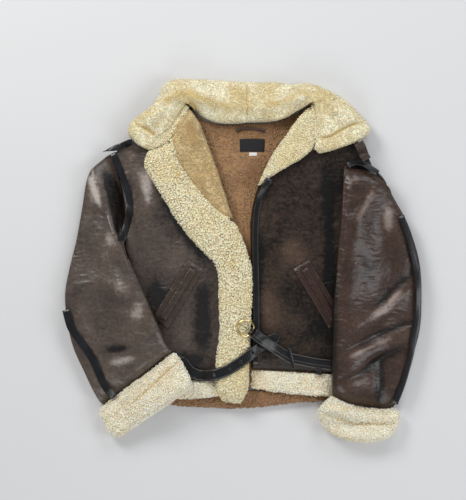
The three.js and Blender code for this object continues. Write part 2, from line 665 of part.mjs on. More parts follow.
function addSolid(name, slot, manifold) {
  const mesh = manifold.getMesh();
  const positions = [];
  const faces = [];
  for (let i = 0; i < mesh.numVert; i++) {
    positions.push([...mesh.vertProperties.slice(i * mesh.numProp, i * mesh.numProp + 3)]);
  }
  for (let i = 0; i < mesh.numTri; i++) faces.push([...mesh.triVerts.slice(i * 3, i * 3 + 3)]);
  return addMesh(name, slot, positions, faces);
}

// Four holes through the belt tongue.
const HOLES = [[-67, -258], [-32, -245], [-5, -230], [21, -209]];
let tongue = solid('belt_tongue');
for (const [x, y] of HOLES) {
  tongue = tongue.subtract(wasm.Manifold.cylinder(200, 2.3, 2.3, 8).translate(x, y, 0));
}
drop('belt_tongue');
addSolid('belt_tongue', 'belt', tongue);

// Leather loops that hold the buckle strap down.
const onStrap = ground([...fronts, ...pockets, 'belt_tongue', 'belt_strap'],
  { facet: 9, blur: 4, slope: 1.6 });
const LOOP = { rows: 14, places: [0, 0.1, 0.9, 1], radius: 1, under: onStrap };
strip('belt_keeper', 'belt', [[104, -199], [110, -223], [115, -246]], 8, 2.2, LOOP);
strip('belt_loop', 'belt', [[172, -249.5], [172, -255], [171, -261]], 14, 2.2, { ...LOOP, rows: 4 });

// Ring buckle: a ring with a straight bar, held in the folded end of the strap.
const RING = { x: 5, y: -152, radius: 18.5, bar: 15, wire: 1.6, tilt: -0.06 };
const AIM = [-0.81, 0.586];   // from the bar across the ring
const FOLD = { out: 4.1, bore: 1.95, long: 7.2 };
const PRONG = { eye: 3.0, wire: 1.0 };
const onPlace = ground([...fronts, 'lapel_band_right', 'zip_tape_left'], { facet: 6, blur: 4, slope: 1.2 });
const barX = RING.x - AIM[0] * RING.bar;
const barY = RING.y - AIM[1] * RING.bar;
const barZ = onPlace(barX - 8, barY + 8) + FOLD.out + 1.2;
// The buckle's own frame: X across the ring away from the strap, Y along the bar.
const place = new THREE.Matrix4().makeBasis(
  new THREE.Vector3(AIM[0], AIM[1], 0), new THREE.Vector3(-AIM[1], AIM[0], 0),
  new THREE.Vector3(0, 0, 1),
).setPosition(barX, barY, barZ);
const lean = new THREE.Matrix4().makeRotationY(-RING.tilt);

function tubeAlong(points, radius, steps, sides, closed) {
  const curve = new THREE.CatmullRomCurve3(points.map((p) => new THREE.Vector3(...p)), closed);
  const geometry = new THREE.TubeGeometry(curve, steps, radius, sides, closed);
  const p = geometry.getAttribute('position');
  const seen = new Map();
  const positions = [];
  const ids = [];
  for (let i = 0; i < p.count; i++) {
    const key = [p.getX(i), p.getY(i), p.getZ(i)].map((v) => Math.round(v * 1000)).join();
    if (!seen.has(key)) {
      seen.set(key, positions.length / 3);
      positions.push(p.getX(i), p.getY(i), p.getZ(i));
    }
    ids.push(seen.get(key));
  }
  const tris = Array.from(geometry.index.array, (i) => ids[i]);
  if (!closed) {
    for (const end of [0, steps]) {
      const first = end * (sides + 1);
      for (let k = 1; k < sides - 1; k++) {
        const t = [ids[first], ids[first + k], ids[first + k + 1]];
        tris.push(...(end ? t.reverse() : t));
      }
    }
  }
  const make = (list) => new wasm.Manifold(new wasm.Mesh({
    numProp: 3, vertProperties: new Float32Array(positions), triVerts: new Uint32Array(list),
  }));
  let made = make(tris);
  if (made.volume() < 0) made = make(tris.reverse());
  return made;
}

const placed = (manifold, matrix) => manifold.transform(matrix.elements);
const half = Math.sqrt(RING.radius ** 2 - RING.bar ** 2);
const open = Math.atan2(half, -RING.bar);
const loop = [[0, -half * 0.9, 0], [0, -half * 0.27, 0], [0, half * 0.27, 0], [0, half * 0.9, 0]];
for (let k = 0; k <= 12; k++) {
  const a = mix(open - 0.1, -open + 0.1, k / 12);
  loop.push([RING.bar + RING.radius * Math.cos(a), RING.radius * Math.sin(a), 0]);
}
const tilted = place.clone().multiply(lean);
addSolid('buckle_ring', 'brass', placed(tubeAlong(loop, RING.wire, 36, 8, true), tilted));

const across2 = RING.bar + RING.radius;
const rest = RING.wire + PRONG.wire + 0.3;
const pin = tubeAlong([
  [0, 0, PRONG.eye], [4, 0, PRONG.eye + 0.3], [across2 * 0.5, 0, rest + 0.8],
  [across2 - 2, 0, rest + 0.1], [across2 + 2.5, 0, rest - 0.1],
], PRONG.wire, 10, 6, false);
const eyeLoop = [];
for (let k = 0; k < 10; k++) {
  const a = 2 * Math.PI * k / 10;
  eyeLoop.push([PRONG.eye * Math.cos(a), 0, PRONG.eye * Math.sin(a)]);
}
const eye = tubeAlong(eyeLoop, PRONG.wire, 12, 6, true);
addSolid('buckle_prong', 'brass', placed(eye.add(pin), tilted));

const sleeveFold = wasm.Manifold.cylinder(FOLD.long, FOLD.out, FOLD.out, 14, true)
  .subtract(wasm.Manifold.cylinder(FOLD.long + 2, FOLD.bore, FOLD.bore, 12, true))
  .rotate([90, 0, 0]);
for (const [name, side] of [['belt_fold_upper', -1], ['belt_fold_lower', 1]]) {
  const moved = sleeveFold.translate(0, side * (FOLD.long / 2 + 1.5), 0);
  addSolid(name, 'belt', placed(moved, place));
}

// The whole jacket is centred over the origin.
const box = new THREE.Box3().setFromObject(group);
const middle = box.getCenter(new THREE.Vector3());
group.traverse((o) => {
  if (o.isMesh) o.geometry.translate(-middle.x, -middle.y, -box.min.z);
});

export default group;
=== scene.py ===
# %% [markdown]
# # A sheepskin flying jacket, dressed over its solids
# The solids already hold the true shape of every sewn piece. This file gives them their looks:
# the leather gets its creases and grain, the fleece its curls, the belt its stitches.
# Everything is in metres, +Y towards the collar and +Z up off the floor. Tables of places are in
# millimetres, in the same axes. Right and left are the wearer's, so the right front is on the -X
# side of the picture.

# %% Load the frame
import math

import bmesh
import bpy
from mathutils import Matrix, Vector, noise
from mathutils.bvhtree import BVHTree


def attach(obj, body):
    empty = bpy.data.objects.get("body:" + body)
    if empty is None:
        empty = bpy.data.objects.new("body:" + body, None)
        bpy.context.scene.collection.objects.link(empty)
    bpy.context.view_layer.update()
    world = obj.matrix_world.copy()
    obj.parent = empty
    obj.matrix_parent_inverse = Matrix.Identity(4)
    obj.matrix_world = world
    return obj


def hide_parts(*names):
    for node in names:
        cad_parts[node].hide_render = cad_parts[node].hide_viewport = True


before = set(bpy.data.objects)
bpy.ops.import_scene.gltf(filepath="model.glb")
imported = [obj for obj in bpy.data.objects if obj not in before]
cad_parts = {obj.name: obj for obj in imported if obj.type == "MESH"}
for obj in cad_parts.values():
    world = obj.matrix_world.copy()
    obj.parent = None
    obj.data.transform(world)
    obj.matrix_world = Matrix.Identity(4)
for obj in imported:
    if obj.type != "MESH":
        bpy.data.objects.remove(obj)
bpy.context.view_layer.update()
MM = 0.001
BODY = "jacket"
WOOL_SHARE = 1.0

# %% [markdown]
# The camera hangs straight over the jacket, as the photographer's did, far enough away that the
# thick sleeves hardly lean outwards. Its lens follows from how far the picture's long side reaches
# over the jacket.

# %% Camera
PICTURE_HIGH = 1.150      # metres that the picture's long side covers at the jacket's mean height
EYE = Vector((-0.023, 0.025, 2.43))
MEAN_HEIGHT = 0.03

camera_data = bpy.data.cameras.new("camera_above")
camera_data.sensor_width = 36.0
camera_data.lens = 36.0 * (EYE.z - MEAN_HEIGHT) / PICTURE_HIGH
camera_data.clip_end = 20
camera = bpy.data.objects.new("camera_above", camera_data)
camera.location = EYE
bpy.context.scene.collection.objects.link(camera)
bpy.context.scene.camera = camera
print("lens", round(camera_data.lens, 1), "mm")

# %% [markdown]
# Light in a catalogue picture is one broad soft source from the upper left and a weak fill from
# the other side, so folds show as gentle gradients and shadows stay close to the cloth.

# %% Lights, world and floor
FLOOR_DEPTH = 0.0006      # the floor lies this far under the jacket, so the two never flicker


def soft_light(name, place, size, watts, colour):
    """A round soft light at a place, turned to the middle of the jacket."""
    data = bpy.data.lights.new(name, "AREA")
    data.shape = "DISK"
    data.size = size
    data.energy = watts
    data.color = colour
    light = bpy.data.objects.new(name, data)
    light.location = place
    light.rotation_euler = (Vector((0, 0, 0)) - Vector(place)).to_track_quat("-Z", "Y").to_euler()
    bpy.context.scene.collection.objects.link(light)


soft_light("window", (-1.6, 1.9, 1.9), 1.2, 50, (1.0, 0.99, 0.97))
soft_light("window_above", (0.9, 2.5, 1.9), 1.4, 27, (0.96, 0.98, 1.0))
soft_light("fill_right", (2.4, -0.5, 1.9), 1.7, 30, (0.95, 0.97, 1.0))
soft_light("fill_below", (-0.3, -2.6, 1.9), 1.7, 26, (1.0, 1.0, 1.0))

world = bpy.data.worlds.new("pale_room")
world.use_nodes = True
world.node_tree.nodes["Background"].inputs["Color"].default_value = (0.93, 0.95, 1.0, 1)
world.node_tree.nodes["Background"].inputs["Strength"].default_value = 0.32
bpy.context.scene.world = world
bpy.context.scene.view_settings.view_transform = "Standard"


def linear(hex_colour, alpha=1.0):
    """An sRGB hex colour as Blender's linear numbers."""
    values = [int(hex_colour[i:i + 2], 16) / 255 for i in (1, 3, 5)]
    values = [v / 12.92 if v <= 0.04045 else ((v + 0.055) / 1.055) ** 2.4 for v in values]
    return (*values, alpha)


def add_node(tree, kind, settings=None, **inputs):
    """Adds one node. An input is a value, or another node's output to link."""
    node = tree.nodes.new(kind)
    for key, value in (settings or {}).items():
        setattr(node, key, value)
    for key, value in inputs.items():
        socket = node.inputs[int(key[1:])] if key[0] == "i" and key[1:].isdigit() else None
        socket = socket or node.inputs[key.replace("_", " ")]
        if isinstance(value, bpy.types.NodeSocket):
            tree.links.new(value, socket)
        else:
            socket.default_value = value
    return node


def new_material(name):
    """A material with its node tree and its shader."""
    material = bpy.data.materials.new(name)
    material.use_nodes = True
    return material, material.node_tree, material.node_tree.nodes["Principled BSDF"]


floor_material, tree, shader = new_material("matt_paper_backdrop")
shader.inputs["Base Color"].default_value = linear("#d6d6d6")
shader.inputs["Roughness"].default_value = 0.9
work = bmesh.new()
bmesh.ops.create_grid(work, x_segments=1, y_segments=1, size=4,
                      matrix=Matrix.Translation((0, 0, -FLOOR_DEPTH)))
floor_mesh = bpy.data.meshes.new("floor")
work.to_mesh(floor_mesh)
work.free()
floor = bpy.data.objects.new("floor", floor_mesh)
floor_mesh.materials.append(floor_material)
bpy.context.scene.collection.objects.link(floor)

# %% [markdown]
# Sheepskin leather is dyed hide with a waxy top. Rubbing lightens the tops of its folds, and dark
# dye stays in the hollows. Each leather piece carries an attribute called worn, which holds that
# rubbing together with painted highlights on rolls and fold edges and painted shade in creases,
# recesses and under the pieces that lie over it. The material turns it into colour and breaks it up
# by two noises: slow patches and mottling of a few millimetres. The pebble grain is really under a
# millimetre wide and is drawn three times as coarse, so that it shows at all from this far away.

# %% Leather
def leather_material(name, dark, mid, worn, roughness, shine, lift=0.0):
    """Waxed hide. lift is added to the worn attribute, for pieces that have none."""
    material, tree, shader = new_material(name)
    place = add_node(tree, "ShaderNodeTexCoord").outputs["Object"]
    # The worn attribute is real rubbing together with painted highlights and painted shade.
    wear_and_painted_light = add_node(tree, "ShaderNodeAttribute", {"attribute_name": "worn"})
    slow = add_node(tree, "ShaderNodeTexNoise", Vector=place, Scale=17.0, Detail=5.0, Roughness=0.65)
    mottle = add_node(tree, "ShaderNodeTexNoise", Vector=place, Scale=130.0, Detail=5.0, Roughness=0.75)
    drawn = add_node(tree, "ShaderNodeMapping", Vector=place, Rotation=(0, 0, 0.6), Scale=(34, 95, 40))
    wrinkles = add_node(tree, "ShaderNodeTexNoise", {"noise_type": "RIDGED_MULTIFRACTAL"},
                        Vector=drawn.outputs[0], Scale=1.0, Detail=4.0, Roughness=0.5)
    ridges = add_node(tree, "ShaderNodeMath", {"operation": "MULTIPLY_ADD"},
                      i0=wrinkles.outputs["Fac"], i1=0.12, i2=wear_and_painted_light.outputs["Fac"])
    first = add_node(tree, "ShaderNodeMath", {"operation": "MULTIPLY_ADD"},
                     i0=slow.outputs["Fac"], i1=0.4, i2=ridges.outputs[0])
    both = add_node(tree, "ShaderNodeMath", {"operation": "MULTIPLY_ADD"},
                    i0=mottle.outputs["Fac"], i1=0.6, i2=first.outputs[0])
    level = add_node(tree, "ShaderNodeMath", {"operation": "ADD"}, i0=both.outputs[0], i1=lift - 0.57)
    patina = add_node(tree, "ShaderNodeValToRGB", Fac=level.outputs[0])
    ramp = patina.color_ramp.elements
    ramp[0].position, ramp[0].color = 0.05, linear(dark)
    ramp[1].position, ramp[1].color = 0.95, linear(worn)
    middle = ramp.new(0.48)
    middle.color = linear(mid)
    tree.links.new(patina.outputs["Color"], shader.inputs["Base Color"])
    gloss = add_node(tree, "ShaderNodeMapRange", Value=mottle.outputs["Fac"], From_Min=0.3,
                     From_Max=0.7, To_Min=roughness - 0.06, To_Max=roughness + 0.1)
    tree.links.new(gloss.outputs[0], shader.inputs["Roughness"])
    pebbles = add_node(tree, "ShaderNodeTexVoronoi", {"feature": "SMOOTH_F1"}, Vector=place,
                       Scale=1000 / 3.2, Smoothness=0.4)
    grain = add_node(tree, "ShaderNodeBump", {"invert": True}, Strength=0.22, Distance=0.0007,
                     Height=pebbles.outputs["Distance"])
    fine = add_node(tree, "ShaderNodeBump", Strength=0.8, Distance=0.0022,
                    Height=wrinkles.outputs["Fac"], Normal=grain.outputs[0])
    broad = add_node(tree, "ShaderNodeTexNoise", Vector=place, Scale=26.0, Detail=3.0)
    soft = add_node(tree, "ShaderNodeBump", Strength=0.45, Distance=0.007,
                    Height=broad.outputs["Fac"], Normal=fine.outputs[0])
    tree.links.new(soft.outputs[0], shader.inputs["Normal"])
    shader.inputs["IOR"].default_value = 1.5
    shader.inputs["Specular IOR Level"].default_value = shine
    return material


LEATHER_RIGHT = leather_material("waxed_hide_grey_brown", "#120d0b", "#5a4d44", "#b3a9a2", 0.36, 0.5)
LEATHER_LEFT = leather_material("waxed_hide_dark_brown", "#0d0a08", "#514034", "#84705f", 0.42, 0.26)
LEATHER_SLEEVE = leather_material("waxed_hide_brown", "#170f0b", "#463227", "#93857d", 0.34, 0.45)
LEATHER_BACK = leather_material("waxed_hide_back", "#120c09", "#4a3a2f", "#8c7d73", 0.4, 0.45, 0.4)
LEATHER_POCKET = leather_material("waxed_hide_pocket", "#120b08", "#3a241b", "#7b6257", 0.34, 0.5, 0.42)
POCKET_RIGHT = leather_material("waxed_hide_pocket_right", "#16100c", "#44352a", "#8c8078", 0.38, 0.5, 0.42)

# %% [markdown]
# Fleece is wool left on the skin. On the collar, lapels and cuffs it is short and curly, on the
# lining it is combed and tanned. A lock is painted lighter at its tip, as painted highlight where it
# catches the light, and warmer and darker at its root, as painted shade deep in the pile, so every
# lock carries an attribute called rise, from 0 at its root to 1 at its tip. The bed under the locks
# has a rise of its own, which is lowest where a seam parts the wool and under painted shade, where
# the wool is also thinned.

# %% Fleece
def fleece_material(name, tip, root, clump_mm, stain, stain_share):
    """Wool from root to tip in clumps, yellowed by a stain over a share of its slow patches."""
    material, tree, shader = new_material(name)
    place = add_node(tree, "ShaderNodeTexCoord").outputs["Object"]
    rise = add_node(tree, "ShaderNodeAttribute", {"attribute_name": "rise"})
    clumps = add_node(tree, "ShaderNodeTexNoise", Vector=place, Scale=1000.0 / clump_mm, Detail=2.0)
    height = add_node(tree, "ShaderNodeMath", {"operation": "MULTIPLY_ADD"},
                      i0=clumps.outputs["Fac"], i1=0.7, i2=rise.outputs["Fac"])
    # The ramp paints a lock's root as painted shade and its tip as painted highlight.
    ramp_node = add_node(tree, "ShaderNodeValToRGB", Fac=height.outputs[0])
    ramp = ramp_node.color_ramp.elements
    ramp[0].position, ramp[0].color = 0.25, linear(root)
    ramp[1].position, ramp[1].color = 0.85, linear(tip)
    slow = add_node(tree, "ShaderNodeTexNoise", Vector=place, Scale=13.0, Detail=4.0)
    share = add_node(tree, "ShaderNodeMapRange", Value=slow.outputs["Fac"],
                     From_Min=0.42, From_Max=0.68, To_Min=0.0, To_Max=stain_share)
    tinted = add_node(tree, "ShaderNodeMix", {"data_type": "RGBA"},
                      i0=share.outputs[0], i6=ramp_node.outputs["Color"], i7=linear(stain))
    tree.links.new(tinted.outputs[2], shader.inputs["Base Color"])
    hair = add_node(tree, "ShaderNodeTexNoise", Vector=place, Scale=420.0, Detail=3.0)
    fibres = add_node(tree, "ShaderNodeBump", Strength=0.35, Distance=0.0012, Height=hair.outputs["Fac"])
    tree.links.new(fibres.outputs[0], shader.inputs["Normal"])
    shader.inputs["Roughness"].default_value = 0.95
    shader.inputs["Sheen Weight"].default_value = 0.3
    shader.inputs["Specular IOR Level"].default_value = 0.1
    shader.inputs["Subsurface Weight"].default_value = 0.25
    shader.inputs["Subsurface Radius"].default_value = (0.006, 0.004, 0.002)
    return material


FLEECE_CREAM = fleece_material("cream_collar_fleece", "#f6f1d4", "#c2a970", 24, "#d6bf84", 0.8)
FLEECE_BAND = fleece_material("lapel_edge_fleece", "#faf3d3", "#b39a64", 9, "#e8d69e", 0.5)
FLEECE_CUFF = fleece_material("curly_cuff_fleece", "#fdfae8", "#d9c79c", 14, "#efd7ae", 0.45)
FLEECE_FACING = fleece_material("combed_facing_fleece", "#cdb98b", "#93774e", 22, "#cbac79", 0.65)
FLEECE_LINING = fleece_material("combed_lining_fleece", "#aa8560", "#745539", 8, "#a07a54", 0.5)

# %% [markdown]
# The small finishes are black tape that covers each seam, strap leather with a duller shine, pale
# brass, and woven cloth for the label. A real weave has threads of 0.2 mm, which can't show from
# here, so the cloth is drawn several times as coarse.

# %% Tape, strap, brass and label cloth
def plain_leather(name, colour, worn, roughness, grain_mm):
    """Smooth coated leather, a little paler in slow patches."""
    material, tree, shader = new_material(name)
    place = add_node(tree, "ShaderNodeTexCoord").outputs["Object"]
    grain = add_node(tree, "ShaderNodeTexNoise", Vector=place, Scale=1000.0 / grain_mm, Detail=4.0)
    slow = add_node(tree, "ShaderNodeTexNoise", Vector=place, Scale=45.0, Detail=3.0)
    tone = add_node(tree, "ShaderNodeValToRGB", Fac=slow.outputs["Fac"])
    ramp = tone.color_ramp.elements
    ramp[0].position, ramp[0].color = 0.4, linear(colour)
    ramp[1].position, ramp[1].color = 0.75, linear(worn)
    tree.links.new(tone.outputs["Color"], shader.inputs["Base Color"])
    bump = add_node(tree, "ShaderNodeBump", Strength=0.35, Distance=0.0008, Height=grain.outputs["Fac"])
    tree.links.new(bump.outputs[0], shader.inputs["Normal"])
    shader.inputs["Roughness"].default_value = roughness
    shader.inputs["IOR"].default_value = 1.5
    return material


def woven_cloth(name, colour, thread_mm):
    """Two sets of threads, each on top where it stands highest."""
    material, tree, shader = new_material(name)
    place = add_node(tree, "ShaderNodeTexCoord").outputs["Object"]
    bands = 160.0 / thread_mm
    warp = add_node(tree, "ShaderNodeTexWave", {"bands_direction": "X"}, Vector=place, Scale=bands)
    weft = add_node(tree, "ShaderNodeTexWave", {"bands_direction": "Y"}, Vector=place, Scale=bands)
    height = add_node(tree, "ShaderNodeMath", {"operation": "MAXIMUM"},
                      i0=warp.outputs["Fac"], i1=weft.outputs["Fac"])
    shade = add_node(tree, "ShaderNodeMix", {"data_type": "RGBA", "blend_type": "MULTIPLY"},
                     i0=0.25, i6=linear(colour), i7=height.outputs[0])
    tree.links.new(shade.outputs[2], shader.inputs["Base Color"])
    bump = add_node(tree, "ShaderNodeBump", Strength=0.4, Distance=0.0004, Height=height.outputs[0])
    tree.links.new(bump.outputs[0], shader.inputs["Normal"])
    shader.inputs["Roughness"].default_value = 0.85
    return material


TAPE = plain_leather("black_seam_tape", "#08090b", "#181a1f", 0.3, 5)
STRAP = plain_leather("black_strap_leather", "#050607", "#111316", 0.36, 4)
CORD = plain_leather("brown_hanger_leather", "#2e1c12", "#553a28", 0.5, 3)
LABEL = woven_cloth("black_woven_label", "#15161a", 1.6)
LABEL_TAB = woven_cloth("white_woven_tab", "#e4e3dc", 1.4)
THREAD = woven_cloth("waxed_thread", "#a29c90", 0.8)
DARK_THREAD = woven_cloth("brown_waxed_thread", "#6b5a4c", 0.8)

BRASS, tree, shader = new_material("cast_brass")
place = add_node(tree, "ShaderNodeTexCoord").outputs["Object"]
tarnish = add_node(tree, "ShaderNodeTexNoise", Vector=place, Scale=180.0, Detail=3.0)
tone = add_node(tree, "ShaderNodeValToRGB", Fac=tarnish.outputs["Fac"])
tone.color_ramp.elements[0].color = linear("#d8c48a")
tone.color_ramp.elements[1].color = linear("#a98c4e")
tree.links.new(tone.outputs["Color"], shader.inputs["Base Color"])
shader.inputs["Metallic"].default_value = 1.0
shader.inputs["Roughness"].default_value = 0.28

# %% [markdown]
# A dressed piece starts as a merged copy of its solid, so it lies exactly where the solid lies.
# Its triangles are joined into quads, which subdivide into an even skin. A point is called bare
# when nothing lies over it: only bare points may be creased, so no piece cuts into the next one.

# %% Copies of the solids
SKIN_LIFT = 0.003         # how far off its skin a point starts to look up
LOOK_UP = 0.12            # and how far it looks


def shade_above(own):
    """One search tree over every solid but a piece's own."""
    points, corners = [], []
    for node_name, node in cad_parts.items():
        if node_name != own:
            first = len(points)
            points.extend(vertex.co.copy() for vertex in node.data.vertices)
            corners.extend([first + i for i in face.vertices] for face in node.data.polygons)
    return BVHTree.FromPolygons(points, corners)


def store(piece, name, values):
    """Keeps one number for each point of a piece."""
    kept = piece.data.attributes.get(name) or piece.data.attributes.new(name, "FLOAT", "POINT")
    kept.data.foreach_set("value", values)


def stored(piece, name):
    """The numbers that store kept under a name."""
    values = [0.0] * len(piece.data.vertices)
    piece.data.attributes[name].data.foreach_get("value", values)
    return values


def divide(piece, levels):
    """Subdivides a piece for good, into a smooth even skin."""
    division = piece.modifiers.new("smooth", "SUBSURF")
    division.levels = division.render_levels = levels
    bpy.context.view_layer.update()
    fine = bpy.data.meshes.new_from_object(piece.evaluated_get(bpy.context.evaluated_depsgraph_get()))
    piece.modifiers.clear()
    piece.data = fine
    fine.name = piece.name
    for face in fine.polygons:
        face.use_smooth = True


def dressed_copy(node_name, name, levels=2, crease=0.0):
    """A smooth, evenly divided copy of a solid, with an attribute that says where it is bare."""
    work = bmesh.new()
    work.from_mesh(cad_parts[node_name].data)
    bmesh.ops.remove_doubles(work, verts=work.verts, dist=1e-6)
    bmesh.ops.join_triangles(work, faces=work.faces, angle_face_threshold=1.2,
                             angle_shape_threshold=1.2, cmp_seam=False, cmp_sharp=False,
                             cmp_uvs=False, cmp_vcols=False, cmp_materials=False)
    if crease:
        sharp = work.edges.layers.float.new("crease_edge")
        for edge in work.edges:
            if len(edge.link_faces) == 2 and edge.calc_face_angle() > 0.6:
                edge[sharp] = crease
    coarse = bpy.data.meshes.new(name + "_coarse")
    work.to_mesh(coarse)
    work.free()
    piece = bpy.data.objects.new(name, coarse)
    bpy.context.scene.collection.objects.link(piece)
    divide(piece, levels)
    above = shade_above(node_name)
    shown = []
    for vertex in piece.data.vertices:
        start = vertex.co + vertex.normal * SKIN_LIFT
        covered = vertex.normal.z < -0.15 or above.ray_cast(start, Vector((0, 0, 1)), LOOK_UP)[0]
        shown.append(0.0 if covered else 1.0)
    store(piece, "bare", shown)
    return piece


def move_bare(piece, height_at):
    """Moves bare points along their normals by height_at(point, normal)."""
    places = []
    for vertex, bare in zip(piece.data.vertices, stored(piece, "bare")):
        point, normal = vertex.co.copy(), vertex.normal.copy()
        point += normal * (height_at(point, normal) * bare)
        places.extend((point.x, point.y, max(point.z, 0.0)))
    piece.data.vertices.foreach_set("co", places)
    piece.data.update()


def settle(piece, material, node_name):
    """Gives a piece its material and body, and lets it stand for its solid."""
    piece.data.materials.clear()
    piece.data.materials.append(material)
    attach(piece, BODY)
    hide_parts(node_name)

# %% [markdown]
# The straps, tapes and fittings already have the right shape. A smooth copy of each takes its
# finish: its long edges are creased, so that they stay crisp when the copy is subdivided. The brass
# ring and prong move by themselves, and keep their solids as they are.

# %% Straps, tapes and fittings
FINISHES = {
    "pocket_frame_left": LEATHER_POCKET, "pocket_welt_left": LEATHER_POCKET,
    "pocket_frame_right": POCKET_RIGHT, "pocket_welt_right": POCKET_RIGHT,
    "belt_tongue": STRAP, "belt_strap": STRAP, "belt_keeper": STRAP, "belt_loop": STRAP,
    "belt_fold_upper": STRAP, "belt_fold_lower": STRAP,
    "armhole_tape_right": TAPE, "armhole_tape_left": TAPE, "sleeve_tape_right": TAPE,
    "sleeve_tape_left": TAPE, "shoulder_tape_left": LEATHER_BACK, "shoulder_tab_right": TAPE,
    "zip_tape_left": TAPE, "neck_label": LABEL, "size_tab": LABEL_TAB, "hanger_loop": CORD,
    "buckle_ring": BRASS, "buckle_prong": BRASS,
}
trims = 0
for node_name, material in FINISHES.items():
    if material == BRASS:
        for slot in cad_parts[node_name].material_slots:
            slot.material = material
        continue
    trim = dressed_copy(node_name, "trim_" + node_name, 1, crease=0.8)
    settle(trim, material, node_name)
    trims += 1
print(trims, "straps, tapes and fittings")

# %% [markdown]
# Folds on a sleeve or a front aren't random, they run where the arm bent. Each one is a line of
# places in millimetres with a width and a height: a roll stands above the hide, a hollow lies
# below it. The same kind of table says where the hide is painted paler or darker: a little of it
# is real rubbing, most of it painted highlights on rolls and fold edges and painted shade in
# creases, recesses and under the lapel band, the belt and the sleeves' edges.

# %% Folds, painted highlights and painted shade, and real rubbing
def near(point, line):
    """How far a point is from a line of places, in mm, and how far along the line, 0 to 1."""
    x, y = point.x * 1000, point.y * 1000
    best, share = 1e9, 0.0
    for i in range(len(line) - 1):
        (x0, y0), (x1, y1) = line[i], line[i + 1]
        dx, dy = x1 - x0, y1 - y0
        t = min(1.0, max(0.0, ((x - x0) * dx + (y - y0) * dy) / (dx * dx + dy * dy)))
        away = math.hypot(x - x0 - t * dx, y - y0 - t * dy)
        if away < best:
            best, share = away, (i + t) / (len(line) - 1)
    return best, share


def relief(point, lines):
    """The sum at a point of all lines of a table: full on a line, fading over its width."""
    total = 0.0
    for line, wide, high in lines:
        away, share = near(point, line)
        if away < wide * 2.2:
            ends = min(1.0, 4 * share + 0.2, 4 * (1 - share) + 0.2)
            total += high * ends * math.exp(-1.6 * (away / wide) ** 2)
    return total


FOLDS = {
    "front_right": [
        ([(-236, 222), (-218, 150)], 17, 3.0), ([(-291, 110), (-262, 30), (-256, -60)], 24, 2.4),
        ([(-205, 118), (-150, 36)], 12, -2.0), ([(-250, 60), (-200, -40), (-190, -140)], 15, -1.6),
        ([(-150, -120), (-120, -190)], 20, 1.8),
    ],
    "front_left": [
        ([(120, 70), (66, -50), (44, -160)], 28, 2.4), ([(190, -140), (120, -196)], 16, -1.8),
        ([(70, 170), (140, 90)], 22, 1.6), ([(60, -90), (130, -150)], 13, 1.8),
    ],
    "sleeve_right": [
        ([(-330, -36), (-262, -70)], 22, 3.0), ([(-307, -234), (-245, -219)], 12, 4.0),
        ([(-318, -206), (-262, -197)], 10, -3.0), ([(-378, -95), (-352, -160), (-334, -210)], 15, 2.2),
        ([(-352, 60), (-300, -10)], 24, 2.4), ([(-296, -112), (-236, -128)], 16, 2.2),
        ([(-300, -90), (-250, -98)], 10, -1.6), ([(-330, -268), (-280, -262)], 14, 2.0),
    ],
    "sleeve_left": [
        ([(373, -52), (328, -112), (285, -134), (240, -160)], 19, 6.0),
        ([(380, -30), (346, -70), (300, -108)], 12, -4.0),
        ([(393, -136), (348, -155), (290, -178), (223, -206)], 7, -4.0),
        ([(390, -152), (348, -170), (290, -193), (223, -219)], 12, 3.5),
        ([(373, -197), (318, -225), (263, -261), (218, -271)], 9, -4.5),
        ([(300, -262), (240, -290)], 22, 2.5), ([(318, -228), (313, -330)], 10, -4.5),
        ([(305, 172), (247, 78)], 15, 3.2), ([(330, 130), (332, 62)], 20, 3.0),
        ([(282, 150), (232, 100)], 10, -2.2), ([(224, -18), (262, -22)], 6, -1.6),
        ([(210, -101), (264, -97)], 6, -1.8), ([(250, 40), (300, -20)], 14, -2.0),
    ],
}
